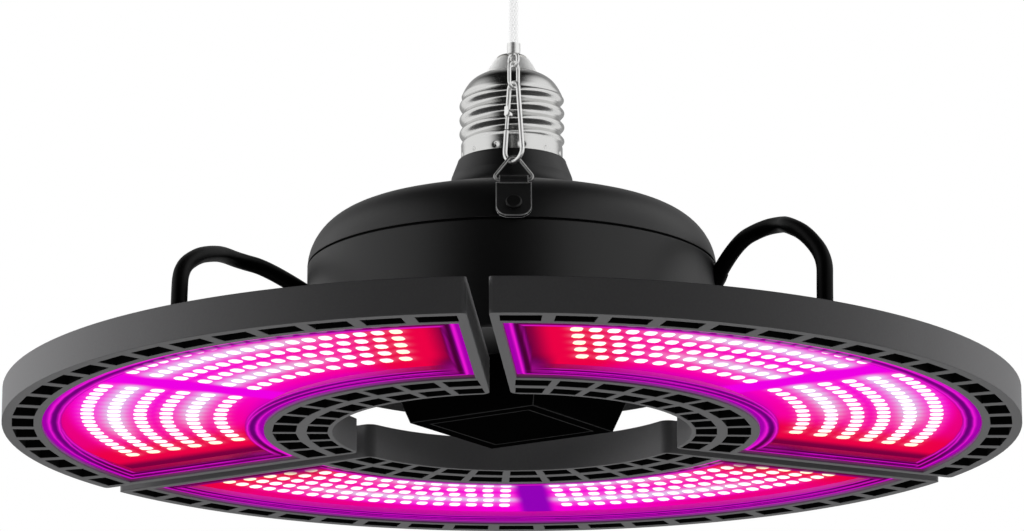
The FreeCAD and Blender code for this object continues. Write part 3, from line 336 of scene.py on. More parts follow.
def soft_step(value, low, high):
    """0 below low, 1 above high, with a smooth rise between them."""
    share = np.clip((value - low) / (high - low), 0, 1)
    return share * share * (3 - 2 * share)


def toward(colours, colour, share):
    """Colours moved towards one colour by a share from 0 to 1."""
    return colours + (np.array(colour) - colours) * share[..., None]


def lamp_spots():
    """Reach, angle and row of each lamp: rows of evenly spaced lamps on both halves of a panel."""
    spots = []
    for row, (reach, count) in enumerate(LAMP_ROWS):
        half = np.linspace(LAMP_START, end_angle(reach, LAMP_END_GAP), count)
        angles = np.concatenate([-half, half])
        spots.append(np.stack(np.broadcast_arrays(reach, angles, row), axis=-1))
    return np.concatenate(spots)


def slab_faces(rows, columns):
    """Faces of a closed slab of two such grids, lower first: both sides and the wall round them."""
    low = quads(rows, columns)
    grid = np.arange(rows * columns).reshape(rows, columns)
    rim = np.concatenate([grid[0, :-1], grid[:-1, -1], grid[-1, :0:-1], grid[:0:-1, 0]])
    after = np.roll(rim, -1)
    wall = np.stack([rim, after, after + rows * columns, rim + rows * columns], axis=-1)
    return np.concatenate([low[:, ::-1], low + rows * columns, wall])


def slab(side, kind, stands_for, reach, angle, low, high, finish, colours):
    """A closed slab on a panel, from low to high over a grid of reaches and angles, with the same
    colours on both sides."""
    levels = [on_panel(reach, angle, height, SIDES[side]) for height in (low, high)]
    made = piece(f"{side}_{kind}", np.concatenate(levels), slab_faces(*angle.shape), finish,
                 stands_for, f"{side}_panel", [f"{side}_{stands_for}"])
    store_glow(made, np.concatenate([colours, colours]))


MAGENTA = (1.0, 0.0, 0.72)
HOT_PINK, PINK_ENDS = (1.0, 0.0, 0.36), (34, 74)
CRIMSON, CRIMSON_EDGE, CRIMSON_ENDS, CRIMSON_SHARE = (0.85, 0.0, 0.16), (106, 110), (60, 95), 0.8
RED, RED_ENDS = (0.9, 0.0, 0.06), (23, 38)
WINE, WINE_ENDS = (0.2, 0.0, 0.05), (9, 15)
PURPLE, PURPLE_EDGE, PURPLE_ENDS, PURPLE_SHARE = (0.28, 0.0, 0.62), (63, 67), (20, 36), 0.3
SKY_BLUE, COOL_HALO, COOL_ENDS = (0.72, 0.86, 1.0), 2.9, (32, 54)
PINK_WHITE, LAMP_HALO, HALO_SHARE = (1.0, 0.6, 0.9), 1.8, 0.3
VIOLET, DEEP_VIOLET = (0.92, 0.0, 0.82), (0.3, 0.0, 0.5)
MIDDLE_TONES = {"right": VIOLET, "rear": DEEP_VIOLET, "left": VIOLET}
MIDDLE_STRIP = (2.8, 5.4)
BOARD_TONE = (0.01, 0.002, 0.006, 1)
glow_board = Finish("glow_board", {"Base Color": BOARD_TONE, "Roughness": 0.5,
                                   "Specular IOR Level": 0.0, "Emission Strength": 1.0})
glow_board.put({"Emission Color": own_glow(glow_board)})
spots = lamp_spots()
board_reach = np.linspace(BOARD_IN, BOARD_OUT, BOARD_ROWS)[:, None]
board_angle = np.linspace(-1, 1, BOARD_COLUMNS)[None, :] * end_angle(board_reach, BOARD_END)
# Round each lamp a painted halo of light fades as exp(-(distance / halo)^2), and the strongest one
# counts.
near_lamp = np.zeros(board_angle.shape)
near_cool = np.zeros(board_angle.shape)
for reach, angle, row in spots:
    away = np.hypot(board_reach - reach, (board_angle - angle) * reach)
    near_lamp = np.maximum(near_lamp, np.exp(-(away / LAMP_HALO) ** 2))
    if row in COOL_ROWS:
        near_cool = np.maximum(near_cool, np.exp(-(away / COOL_HALO) ** 2))
from_end = board_reach * np.sin(HALF_SECTOR - np.abs(board_angle))
from_middle = np.abs(board_reach * board_angle)
outer_edge = CRIMSON_SHARE * soft_step(board_reach, *CRIMSON_EDGE)
inner_edge = PURPLE_SHARE * (1 - soft_step(board_reach, *PURPLE_EDGE))
glow = np.broadcast_to(np.array(MAGENTA), board_angle.shape + (3,))
glow = toward(glow, HOT_PINK, 1 - soft_step(from_end, *PINK_ENDS))
glow = toward(glow, CRIMSON, outer_edge * (1 - soft_step(from_end, *CRIMSON_ENDS)))
glow = toward(glow, RED, 1 - soft_step(from_end, *RED_ENDS))
glow = toward(glow, WINE, 1 - soft_step(from_end, *WINE_ENDS))
glow = toward(glow, PURPLE, inner_edge * soft_step(from_end, *PURPLE_ENDS))
glow = toward(glow, SKY_BLUE, near_cool * soft_step(from_end, *COOL_ENDS))
glow = toward(glow, PINK_WHITE, HALO_SHARE * near_lamp)
opaque = np.ones(board_angle.shape + (1,))
# Painted light: the lampless strip down each panel's middle glows violet, a deeper violet on the rear
# panel.
for side in SIDES:
    board_glow = toward(glow, MIDDLE_TONES[side], 1 - soft_step(from_middle, *MIDDLE_STRIP))
    slab(side, "glow_board", "lamp_board", board_reach, board_angle, BOARD_LOW, BOARD_HIGH,
         glow_board, np.concatenate([board_glow, opaque], axis=-1))

# Lamps
# Low square packages with rounded corners and a domed top, soldered to the board in curved rows.
# Rows two and five are cool white, the others a warmer white.
LAMP_RADIAL, LAMP_ALONG, LAMP_HEIGHT = 1.65, 1.4, 0.3
LAMP_CORNERS, LAMP_SQUARENESS = 12, 4
LAMP_RINGS = ((1.0, 0.0), (1.0, 0.55), (0.9, 0.85), (0.5, 1.0))
LAMP_FOOT = 0.1 * LAMP_HEIGHT
WARM_LAMP = (1.0, 0.9, 0.92, 1)
COOL_LAMP = (0.8, 0.97, 1.0, 1)
END_LAMP, END_LAMPS = (1.0, 0.86, 0.6, 1), (21, 30)
LAMP_SIDE = (0.85, 0.12, 0.5, 1)
LAMP_TONE = (0.1, 0.09, 0.06, 1)
lamp_face = Finish("lamp_face", {"Base Color": LAMP_TONE, "Roughness": 0.3,
                                 "Emission Strength": 1.5, "Specular IOR Level": 0.0})
lamp_face.put({"Emission Color": own_glow(lamp_face)})
# The outline is where |across|^4 + |along|^4 = 1, and each ring is a share of it and of the height.
turn_round = np.linspace(0, 2 * np.pi, LAMP_CORNERS, endpoint=False)
squared = np.abs(np.cos(turn_round)) ** LAMP_SQUARENESS + np.abs(np.sin(turn_round)) ** LAMP_SQUARENESS
outline = np.stack([LAMP_RADIAL * np.cos(turn_round), LAMP_ALONG * np.sin(turn_round)], axis=-1)
outline = outline * squared[:, None] ** (-1 / LAMP_SQUARENESS)
lamp_shape = np.concatenate([np.c_[outline * share, np.full(LAMP_CORNERS, -LAMP_HEIGHT * lift)]
                             for share, lift in LAMP_RINGS])
lamp_walls = quads(len(LAMP_RINGS), LAMP_CORNERS, round_columns=True)[:, ::-1]
foot_lid = np.arange(LAMP_CORNERS)
lamp_lids = np.stack([foot_lid, foot_lid[::-1] + (len(LAMP_RINGS) - 1) * LAMP_CORNERS])
starts = np.arange(len(spots))[:, None, None] * len(lamp_shape)
lamp_faces = ((lamp_walls + starts).reshape(-1, 4).tolist()
              + (lamp_lids + starts).reshape(-1, LAMP_CORNERS).tolist())
spot_reach, spot_angle = spots[:, 0], spots[:, 1]
along = spot_reach[:, None] + lamp_shape[None, :, 0]
across = lamp_shape[None, :, 1]
lamp_reach, lamp_angle = np.hypot(along, across), np.arctan2(across, along) + spot_angle[:, None]
lamp_height = BOARD_LOW + lamp_shape[None, :, 2]
lamp_glow = np.where(np.isin(spots[:, 2], COOL_ROWS)[:, None], COOL_LAMP, WARM_LAMP)
lamp_from_end = spot_reach * np.sin(HALF_SECTOR - np.abs(spot_angle))
lamp_glow = toward(lamp_glow, END_LAMP, 1 - soft_step(lamp_from_end, *END_LAMPS))
lamp_glow = np.where(lamp_shape[None, :, 2:] > -LAMP_FOOT, LAMP_SIDE, lamp_glow[:, None])
for side, turn in SIDES.items():
    lamps = piece(f"{side}_lamps", on_panel(lamp_reach, lamp_angle, lamp_height, turn), lamp_faces,
                  lamp_face, "lamp_board", f"{side}_panel")
    store_glow(lamps, lamp_glow)

# Lenses
# Clear moulded covers, flush in the trays' windows, with two ridges round the border. The lamps'
# light piped along the edges is painted light, an emission colour: bright magenta on the ridges,
# purple over the border, darker purple further in and dark wine red near the ends.
LENS_IN, LENS_OUT, LENS_END = 61.15, 115.15, 4.95
LENS_LOW, LENS_HIGH = PANEL_Z + 0.4, PANEL_Z + 1.4
LENS_HALF_SPAN = LENS_OUT * 0.8
LENS_BORDER = np.array([0, 0.3, 0.8, 1.3, 1.6, 1.9, 2.2, 2.6, 3.2, 3.7, 4.0, 4.3, 4.7, 5.5])
LENS_SPREAD = 24
OUTER_RIDGE, INNER_RIDGE, RIDGE_WIDTH = 1.6, 4.0, 0.35
RIM_DROP, RIM_STEP, GROOVE_DEPTH = 0.3, (1.2, 1.9), 0.2
BORDER_GLOW = (0.36, 0.0, 0.4)
GROOVE_GLOW, GROOVE_STEP = (0.13, 0.0, 0.17), (1.8, 2.4)
END_GLOW, END_STEP, END_FADE = (0.06, 0.0, 0.03), (1.8, 2.8), (12, 34)
RIDGE_GLOW, DIM_RIDGE_FROM, DIM_RIDGE = (0.9, 0.01, 0.7), 3, 0.3
BORDER_COVER, CLEAR_COVER, CLEAR_STEP = 0.9, 0.04, (4.1, 4.8)
LENS_TONE = (0.01, 0.002, 0.008, 1)


def border_grid(inside, outside, steps):
    """Distances across a panel: fine steps from both edges and an even spread between them."""
    middle = np.linspace(inside + steps[-1], outside - steps[-1], LENS_SPREAD)[1:-1]
    return np.concatenate([inside + steps, middle, outside - steps[::-1]])


clear_lens = Finish("clear_lens", {"Base Color": LENS_TONE, "Roughness": 0.06,
                                   "Specular IOR Level": 0.0, "Emission Strength": 1.0})
clear_lens.put({"Emission Color": own_glow(clear_lens), "Alpha": own_glow(clear_lens, "Alpha")})
lens_reach = border_grid(LENS_IN, LENS_OUT, LENS_BORDER)[:, None]
lens_across = border_grid(-LENS_HALF_SPAN, LENS_HALF_SPAN, LENS_BORDER)[None, :] / LENS_HALF_SPAN
lens_angle = lens_across * end_angle(lens_reach, LENS_END)
lens_from_end = lens_reach * np.sin(HALF_SECTOR - np.abs(lens_angle)) - LENS_END
lens_from_edge = np.minimum(lens_reach - LENS_IN, LENS_OUT - lens_reach)
lens_depth = np.minimum(np.maximum(lens_from_edge, 0), np.maximum(lens_from_end, 0))
# Both ridges swell as exp(-(distance / width)^2) at their depth from the border.
ridge = (np.exp(-((lens_depth - OUTER_RIDGE) / RIDGE_WIDTH) ** 2)
         + np.exp(-((lens_depth - INNER_RIDGE) / RIDGE_WIDTH) ** 2))
lens_low = (LENS_LOW + RIM_DROP * (1 - soft_step(lens_depth, *RIM_STEP))
            + GROOVE_DEPTH * (1 - ridge) * (lens_depth < INNER_RIDGE))
end_share = 1 - soft_step(lens_from_end, *END_FADE)
dim_ridge = (lens_from_end < lens_from_edge) & (lens_depth > DIM_RIDGE_FROM)
ridge_share = np.clip(ridge, 0, 1) * np.where(dim_ridge, DIM_RIDGE, 1)
# Painted light on the lens: its border glows purple, darker further in and wine red near the ends, with
# bright magenta ridges.
lens_glow = np.broadcast_to(np.array(BORDER_GLOW), lens_depth.shape + (3,))
lens_glow = toward(lens_glow, GROOVE_GLOW, soft_step(lens_depth, *GROOVE_STEP))
lens_glow = toward(lens_glow, END_GLOW, soft_step(lens_depth, *END_STEP) * end_share)
lens_glow = toward(lens_glow, RIDGE_GLOW, ridge_share)
lens_cover = BORDER_COVER * (1 - soft_step(lens_depth, *CLEAR_STEP)) + CLEAR_COVER
lens_colours = np.concatenate([lens_glow, lens_cover[..., None]], axis=-1)
for side in SIDES:
    slab(side, "clear_lens", "lens", lens_reach, lens_angle, lens_low, LENS_HIGH, clear_lens,
         lens_colours)

# Panel hinges
# Bent steel leaves with rolled barrels and brackets under the housing, zinc plated, held by pan-head
# screws and turning on plain pins.
ZINC_TONE = (0.42, 0.42, 0.43, 1)
SCREW_TONE = (0.3, 0.3, 0.31, 1)
zinc = Finish("zinc", {"Base Color": ZINC_TONE, "Metallic": 1.0})
zinc.mottle(3, rough=(0.28, 0.2), detail=4)
zinc.relief(zinc.grain(0.4), depth=0.01, soft_edge=0.2)
dress(zinc, *every("hinge_leaf"), *every("hinge_bracket"), *every("hinge_pin"))
screw_steel = Finish("screw_steel", {"Base Color": SCREW_TONE, "Metallic": 1.0})
screw_steel.mottle(0.6, rough=(0.3, 0.15))
dress(screw_steel, *every("leaf_screws"), "bracket_screws")

# Housing
# Two matt black moulded halves, the lower a cup and the upper a dome with a neck, with a rubber seal
# in the seam. A smooth black box with a flat cover closes the housing from below.
SHELL_TONES = (0.003, 0.003, 0.0033, 1), (0.006, 0.006, 0.0063, 1)
SEAM_TONES = (0.002, 0.002, 0.002, 1), (0.006, 0.006, 0.006, 1)
BOX_TONES = (0.001, 0.001, 0.001, 1), (0.003, 0.003, 0.003, 1)
BOX_EDGE_HIGHLIGHT = (0.07, 0.07, 0.07, 1)
black_shell = Finish("black_shell", {"Specular IOR Level": 0.42})
pores = black_shell.mottle(0.35, SHELL_TONES, rough=(0.34, 0.1), detail=3)
black_shell.relief(pores, depth=0.015, soft_edge=0.3)
dress(black_shell, "lower_housing", "upper_housing")
seam_rubber = Finish("seam_rubber", {"Specular IOR Level": 0.1, "Roughness": 0.7})
seam_rubber.mottle(0.6, SEAM_TONES)
dress(seam_rubber, "seam_seal")
deep_black = Finish("deep_black", {"Specular IOR Level": 0.0})
# The box's edges get a thin pale painted highlight.
dust = deep_black.mottle(0.4, BOX_TONES, edge_highlight=(0.5, BOX_EDGE_HIGHLIGHT), rough=(0.4, 0.1), detail=3)
deep_black.relief(dust, depth=0.01, soft_edge=0.4)
dress(deep_black, "hub_box", "hub_cover")

# Driver
# A green glass-fibre board with a taped coil and two sleeved capacitors soldered to it, fixed inside
# the housing.
CIRCUIT_TONES = (0.01, 0.09, 0.03, 1), (0.02, 0.13, 0.05, 1)
TAPE_TONES = (0.5, 0.32, 0.03, 1), (0.58, 0.4, 0.05, 1)
SLEEVE_TONES = (0.01, 0.012, 0.03, 1), (0.02, 0.022, 0.05, 1)
circuit = Finish("circuit", {"Roughness": 0.4})
circuit.mottle(4, CIRCUIT_TONES)
dress(circuit, "driver_board")
tape = Finish("tape", {"Roughness": 0.35})
tape.mottle(5, TAPE_TONES)
dress(tape, "driver_coil")
sleeve = Finish("sleeve", {"Roughness": 0.3})
sleeve.mottle(6, SLEEVE_TONES)
dress(sleeve, "driver_capacitors")

# Screw cap
# A thin nickel-plated shell with a rolled helical thread, its skirt punched with small dimples,
# closed by a pale moulded insulator and a soldered centre contact.
SKIRT_HIGH, SKIRT_REACH = 3.6, 12.7
THREAD_LOW, THREAD_HIGH = 4.05, 16.755
THREAD_PITCH, THREAD_MEAN, THREAD_DEPTH, THREAD_LEAD = 3.63, 12.625, 1.05, 1.9
THREAD_IN = (SKIRT_HIGH - 0.4, SKIRT_HIGH + 1.6)
THREAD_OUT = (THREAD_HIGH - 1.2, THREAD_HIGH)
WALL_STEP = (SKIRT_HIGH - 0.5, SKIRT_HIGH + 0.5)
CAP_TOP_REACH, CAP_TOP, CAP_BULGE = 6.7, 22.6, 1.0
CAP_HOLE, CAP_LIP, CAP_INSIDE, CAP_SLOPE_LOW = 5.5, 1.2, 11.3, 16.4
DIMPLES, DIMPLE_Z, DIMPLE_SIZE, DIMPLE_DEPTH = 12, 1.15, 0.55, 0.4
DIMPLED_LOW, DIMPLED_HIGH, DIMPLED_ROWS = 0, 2.6, 22
PLAIN_LOW, PLAIN_ROWS = 2.7, 110
SHOULDER_ROWS, CAP_COLUMNS = 12, 288
NICKEL_TONE = (0.68, 0.68, 0.67, 1)
PORCELAIN_TONES = (0.78, 0.78, 0.77, 1), (0.88, 0.88, 0.87, 1)
SOLDER_TONE = (0.66, 0.65, 0.62, 1)
nickel = Finish("nickel", {"Base Color": NICKEL_TONE, "Metallic": 1.0})
nickel.mottle(3, rough=(0.12, 0.2), detail=5, stretch=(1, 1, 7))
rise = np.concatenate([np.linspace(DIMPLED_LOW, DIMPLED_HIGH, DIMPLED_ROWS),
                       np.linspace(PLAIN_LOW, THREAD_HIGH, PLAIN_ROWS)])
cap_turn = np.linspace(0, 2 * np.pi, CAP_COLUMNS, endpoint=False)[None, :]
# The wall's reach is the plain wall, plus half the thread's depth times a cosine that climbs one
# pitch a turn, minus a row of dimples that fade as exp(-(distance / size)^2).
thread_share = soft_step(rise, *THREAD_IN) * (1 - soft_step(rise, *THREAD_OUT))
wall = SKIRT_REACH + (THREAD_MEAN - SKIRT_REACH) * soft_step(rise, *WALL_STEP)
wave = np.cos(2 * np.pi * (rise[:, None] - THREAD_LOW) / THREAD_PITCH - cap_turn - THREAD_LEAD)
step = np.mod(cap_turn, 2 * np.pi / DIMPLES) - np.pi / DIMPLES
dent = np.exp(-((step * SKIRT_REACH) ** 2 + (rise[:, None] - DIMPLE_Z) ** 2) / DIMPLE_SIZE ** 2)
cap_reach = wall[:, None] + THREAD_DEPTH / 2 * thread_share[:, None] * wave - DIMPLE_DEPTH * dent
# The shoulder runs straight from the thread to the top, bulged outwards by half a sine wave.
shoulder = np.linspace(0, 1, SHOULDER_ROWS)[1:]
bulge = CAP_BULGE * math.sqrt(0.5) * np.sin(np.pi * shoulder)
shoulder_reach = THREAD_MEAN + (CAP_TOP_REACH - THREAD_MEAN) * shoulder + bulge
shoulder_rise = THREAD_HIGH + (CAP_TOP - THREAD_HIGH) * shoulder + bulge
inside_rise = np.array([CAP_TOP, CAP_TOP - CAP_LIP, CAP_SLOPE_LOW, 0.0])
inside_reach = np.array([CAP_HOLE, CAP_HOLE, CAP_INSIDE, CAP_INSIDE])
all_round = np.ones((1, CAP_COLUMNS))
loop_rise = np.concatenate([rise, shoulder_rise, inside_rise])[:, None] * all_round
plain_reach = np.concatenate([shoulder_reach, inside_reach])[:, None] * all_round
loop_reach = np.concatenate([cap_reach, plain_reach])
shell_points = np.stack([loop_reach * np.cos(cap_turn), loop_reach * np.sin(cap_turn), loop_rise],
                        axis=-1) * MM
piece("threaded_shell", shell_points, quads(*loop_reach.shape, True, True), nickel, "cap_shell",
      "driver", ["screw_shell"], 50)
porcelain = Finish("porcelain", {})
porcelain.mottle(2.5, PORCELAIN_TONES, rough=(0.3, 0.2), detail=3)
dress(porcelain, "cap_insulator")
solder = Finish("solder", {"Base Color": SOLDER_TONE, "Metallic": 1.0})
solder.mottle(1.5, rough=(0.25, 0.25))
dress(solder, "centre_contact")

# Leads
# Round black rubber cables that leave the housing through short moulded boots, arch over and drop
# into the glands on the panels' backs.
LEAD_RADIUS, LEAD_SIDES = 2.0, 24
LEAD_ROUTES = {
    "right": [(51.811, -5.489, -30.442), (55.878, -10.053, -24.392), (62.5, -15.1, -22.1),
              (67.2, -21.4, -22.9), (68.7, -28.9, -25.1), (72.9, -34.6, -28.7),
              (77.3, -40.8, -36.3), (77.076, -44.5, -44.6), (77.076, -44.5, -54.1)],
    "rear": [(0, 52.848, -30.766), (0, 59.401, -26.177), (0.8, 67.5, -22.1), (1.2, 76.5, -22.3),
             (0.8, 84.0, -27.0), (0.2, 88.0, -35.0), (0, 89.0, -44.6), (0, 89.0, -54.1)],
    "left": [(-51.974, 7.698, -31.104), (-60.925, 2.529, -26.063), (-68.0, -3.8, -25.4),
             (-70.9, -11.9, -25.8), (-72.6, -21.1, -28.0), (-74.8, -30.3, -30.9),
             (-77.5, -38.8, -36.0), (-77.076, -44.5, -44.6), (-77.076, -44.5, -54.1)]}
ROUTE_STEPS = 12
ASKEW = (0.3, 0.5, 0.8)
RUBBER_TONES = (0.002, 0.002, 0.002, 1), (0.005, 0.005, 0.005, 1)


def route_points(name, points):
    """Points along a smooth spline that these control points, in millimetres, pull into shape."""
    curve = bpy.data.curves.new(name, "CURVE")
    curve.dimensions = "3D"
    curve.resolution_u = ROUTE_STEPS
    spline = curve.splines.new("NURBS")
    spline.points.add(len(points) - 1)
    for point, spot in zip(spline.points, points):
        point.co = [value * MM for value in spot] + [1]
    spline.order_u = 3
    spline.use_endpoint_u = True
    carrier = bpy.data.objects.new(name, curve)
    line = bpy.data.meshes.new_from_object(carrier)
    spots = np.empty(len(line.vertices) * 3)
    line.vertices.foreach_get("co", spots)
    bpy.data.objects.remove(carrier)
    bpy.data.curves.remove(curve)
    bpy.data.meshes.remove(line)
    return spots.reshape(-1, 3)


def tube(path, radius, sides):
    """A ring of points carried along a path: each stands square to the path, without twisting.
    The first ring starts square to a direction that no path takes."""
    ahead = np.gradient(path, axis=0)
    ahead /= np.linalg.norm(ahead, axis=1)[:, None]
    up = np.cross(ahead[0], ASKEW)
    frames = []
    for direction in ahead:
        up = up - direction * (up @ direction)
        up = up / np.linalg.norm(up)
        frames.append(up)
    up = np.array(frames)
    aside = np.cross(ahead, up)
    around = np.linspace(0, 2 * np.pi, sides, endpoint=False)[None, :, None]
    return path[:, None] + (up[:, None] * np.cos(around) + aside[:, None] * np.sin(around)) * radius


def closed_tube(path, radius, sides, first=0):
    """Points and faces of a tube along a path: its wall, then a fan over each end's middle point.
    Both middle points come last, and the faces count their points from first."""
    points = np.concatenate([tube(path, radius, sides).reshape(-1, 3), path[:1], path[-1:]])
    wall = quads(len(path), sides, round_columns=True)
    near = np.arange(sides)
    far = near + (len(path) - 1) * sides
    middle = np.full(sides, len(path) * sides)
    fans = np.concatenate([np.stack([middle, np.roll(near, -1), near], axis=-1),
                           np.stack([middle + 1, far, np.roll(far, -1)], axis=-1)])
    return points, (wall + first).tolist() + (fans + first).tolist()


rubber = Finish("rubber", {"Specular IOR Level": 0.05})
rubber.mottle(1.5, RUBBER_TONES, rough=(0.3, 0.15), detail=3)
for side in SIDES:
    path = route_points(f"{side}_route", LEAD_ROUTES[side])
    lead = piece(f"{side}_cable", *closed_tube(path, LEAD_RADIUS * MM, LEAD_SIDES), rubber, "lead",
                 None, [f"{side}_lead"])
    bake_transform(lead)
dress(rubber, *every("lead_boot"), *every("gland"))

# Hanger strap
# A black-painted steel tab, screwed to the dome by a black pan-head screw, its top curled round the
# ring's bar. A pale painted highlight runs along the edges of the tab and of the screw.
STRAP_TONES = (0.022, 0.022, 0.0225, 1), (0.032, 0.032, 0.033, 1)
STRAP_EDGE_HIGHLIGHT = (0.9, 0.9, 0.9, 1)
SCREW_BLACK, SCREW_HIGHLIGHT, SCREW_EDGE_WIDTH = (0.006, 0.006, 0.006, 1), (0.09, 0.09, 0.09, 1), 0.3
black_steel = Finish("black_steel", {"Specular IOR Level": 0.2})
# The strap's edges get a near white painted highlight.
scuff = black_steel.mottle(0.8, STRAP_TONES, edge_highlight=(0.6, STRAP_EDGE_HIGHLIGHT), rough=(0.4, 0.15), detail=3)
black_steel.relief(scuff, depth=0.01, soft_edge=0.3)
dress(black_steel, "hanger_strap")
screw_black = Finish("screw_black", {"Specular IOR Level": 0.3})
screw_black.mottle(0.5, rough=(0.35, 0.15), detail=3)
# The screw's edges get a pale painted highlight.
screw_highlight = screw_black.edges(SCREW_EDGE_WIDTH)
screw_black.put({"Base Color": screw_black.between(screw_highlight, SCREW_BLACK, SCREW_HIGHLIGHT)})
dress(screw_black, "strap_screw")

# Hanger ring
# A bent wire triangle in dark browned steel, sprung into the strap's curl.
BROWNED_TONES = (0.3, 0.3, 0.295, 1), (0.4, 0.4, 0.395, 1)
browned = Finish("browned", {"Metallic": 1.0})
browned.mottle(0.8, BROWNED_TONES, rough=(0.22, 0.15), detail=3)
dress(browned, "hanger_ring")

# Snap hook
# One bent nickel-plated wire with a sprung gate. The small link above it, the rope's pressed ferrule
# and the eye at the rope's top are of the same bright metal.
HOOK_TONE = (0.92, 0.92, 0.91, 1)
hook_steel = Finish("hook_steel", {"Base Color": HOOK_TONE, "Metallic": 1.0})
hook_steel.mottle(1.2, rough=(0.32, 0.2), detail=3)
dress(hook_steel, "snap_hook", "hook_gate", "chain_link", "rope_ferrule", "rope_eye")

# Safety rope
# Six strands twisted together in a clear coat, drawn straight up from the ferrule to an eye that a
# ceiling hook holds.
ROPE_X, ROPE_Y = 3.3476, -47.8733
ROPE_LOW, ROPE_HIGH = 15.99, 46.49
ROPE_ACROSS, ROPE_LAY, ROPE_STEPS = 2.4, 9.0, 97
STRANDS, STRAND_REACH, STRAND_RADIUS, STRAND_SIDES = 6, 0.72, 0.46, 10
COAT_TONES = (0.8, 0.81, 0.82, 1), (0.95, 0.95, 0.96, 1)
COAT_COVER, COAT_RIM = 0.04, 0.22
clear_coat = Finish("clear_coat", {"Roughness": 0.25})
clear_coat.mottle(1.0, COAT_TONES)
facing = clear_coat.node("ShaderNodeLayerWeight", {}, {"Blend": 0.3}, "Facing")
clear_coat.put({"Alpha": COAT_COVER + COAT_RIM * facing * facing})
rope_route = route_points("rope_route", [(ROPE_X, ROPE_Y, ROPE_LOW),
                                         (ROPE_X, ROPE_Y, (ROPE_LOW + ROPE_HIGH) / 2),
                                         (ROPE_X, ROPE_Y, ROPE_HIGH)])
share = np.linspace(0, 1, ROPE_STEPS)
route_share = np.linspace(0, 1, len(rope_route))
core = np.stack([np.interp(share, route_share, rope_route[:, axis]) for axis in range(3)], axis=-1)
strand_points, strand_faces = [], []
for strand in range(STRANDS):
    twist = 2 * np.pi * (strand / STRANDS + share * (ROPE_HIGH - ROPE_LOW) / ROPE_LAY)
    around = np.stack([np.cos(twist), np.sin(twist), np.zeros(ROPE_STEPS)], axis=-1)
    points, faces = closed_tube(core + around * STRAND_REACH * MM, STRAND_RADIUS * MM, STRAND_SIDES,
                                strand * (ROPE_STEPS * STRAND_SIDES + 2))
    strand_points.append(points)
    strand_faces += faces
rope = piece("twisted_rope", np.concatenate(strand_points), strand_faces, clear_coat, "rope",
             "safety_rope", ["safety_rope"])

# Floor, light and camera
# A wide pale floor far below the hanging lamp, a soft box on each side, weak ones above and below, and
# a surround that is white to the eye, with white walls left, right and behind for the metal to mirror.
FLOOR_Z, FLOOR_HALF = -3.6, 16
FLOOR_CORNERS = ((-1, -1), (1, -1), (1, 1), (-1, 1))
PALE_TONES = (0.8, 0.8, 0.8, 1), (0.84, 0.84, 0.84, 1)
FULL_LIGHT = (1, 1, 1, 1)
SEEN_RAYS = ("Is Camera Ray", "Is Glossy Ray", "Is Transmission Ray")
AIM = Vector((0, 0, -0.04))


def rays(nodes):
    """For each kind of ray that shows the background: 1 on that ray, and 0 on others."""
    return [nodes.node("ShaderNodeLightPath", {}, {}, ray) for ray in SEEN_RAYS]


pale = Finish("pale_floor", {"Roughness": 0.8, "Emission Strength": 0.85})
pale.mottle(60, PALE_TONES)
in_sight, mirrored, through_glass = rays(pale)
pale.put({"Emission Color": pale.between(in_sight | mirrored | through_glass, NO_LIGHT, FULL_LIGHT)})
floor_mesh = bpy.data.meshes.new("floor")
floor_mesh.from_pydata([(x * FLOOR_HALF, y * FLOOR_HALF, FLOOR_Z) for x, y in FLOOR_CORNERS], [],
                       [(0, 1, 2, 3)])
floor = bpy.data.objects.new("floor", floor_mesh)
bpy.context.scene.collection.objects.link(floor)
floor.data.materials.append(pale.material)


def soft_box(name, spot, size, power):
    """A square lamp at this spot, in metres, turned to the middle of the object."""
    lamp = bpy.data.lights.new(name, "AREA")
    lamp.energy = power
    lamp.size = size
    made = bpy.data.objects.new(name, lamp)
    made.location = spot
    made.rotation_euler = (AIM - Vector(spot)).to_track_quat("-Z", "Y").to_euler()
    made.visible_camera = False
    made.visible_glossy = False
    bpy.context.scene.collection.objects.link(made)


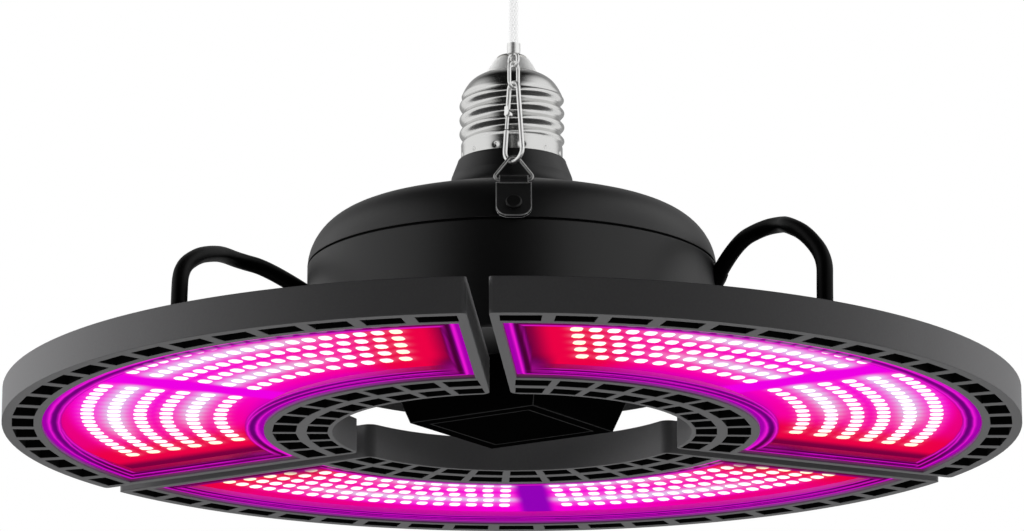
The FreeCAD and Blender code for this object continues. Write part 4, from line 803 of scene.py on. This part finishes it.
soft_box("left_box", spot=(-1.45, 0.35, 0.05), size=0.8, power=31)
soft_box("right_box", spot=(1.3, 0.6, 0.05), size=0.8, power=23)
soft_box("low_box", spot=(0.0, -0.1, -0.44), size=0.7, power=0.6)
soft_box("top_box", spot=(0.0, 0.3, 1.3), size=0.9, power=7)

LEFT_WALL, RIGHT_WALL, RIGHT_WALL_BACK = (-0.38, -0.8), (0.25, 0.6), (0.9, 0.45)
BACK_WALL, BACK_SHARE = (0.3, 0.8), 0.35
UNLIT_WALL = (0.005, 0.005, 0.005, 1)
AMBIENT = (0.1, 0.1, 0.1, 1)
world = bpy.data.worlds.new("studio")
bpy.context.scene.world = world
world.use_nodes = True
world.node_tree.nodes.clear()
surround = Nodes(world.node_tree)
in_sight, mirrored, through_glass = rays(surround)
direction = surround.node("ShaderNodeTexCoord", {}, {}, "Generated")
side_x, side_y = [surround.node("ShaderNodeSeparateXYZ", {}, {0: direction}, axis)
                  for axis in range(2)]
left_wall = surround.rising(side_x, *LEFT_WALL)
right_wall = surround.rising(side_x, *RIGHT_WALL) * surround.rising(side_y, *RIGHT_WALL_BACK)
back_wall = BACK_SHARE * surround.rising(side_y, *BACK_WALL)
walls = surround.between(left_wall | right_wall | back_wall, UNLIT_WALL, FULL_LIGHT)
shown = surround.between(in_sight | through_glass, surround.between(mirrored, AMBIENT, walls),
                         FULL_LIGHT)
background = surround.node("ShaderNodeBackground", {}, {"Color": shown, "Strength": 1.0})
output = world.node_tree.nodes.new("ShaderNodeOutputWorld")
world.node_tree.links.new(background.socket, output.inputs["Surface"])

EYE_SPOT = (0.0676, -1.1056, -0.3108)
EYE_WAY = Vector((-0.0591, 0.9669, 0.2484))
camera = bpy.data.cameras.new("camera")
camera.lens = 161.72
camera.sensor_width = 36
camera.clip_end = 20
eye = bpy.data.objects.new("camera", camera)
eye.location = EYE_SPOT
eye.rotation_euler = EYE_WAY.to_track_quat("-Z", "Y").to_euler()
bpy.context.scene.collection.objects.link(eye)
bpy.context.scene.camera = eye
bpy.context.scene.view_settings.view_transform = "Standard"
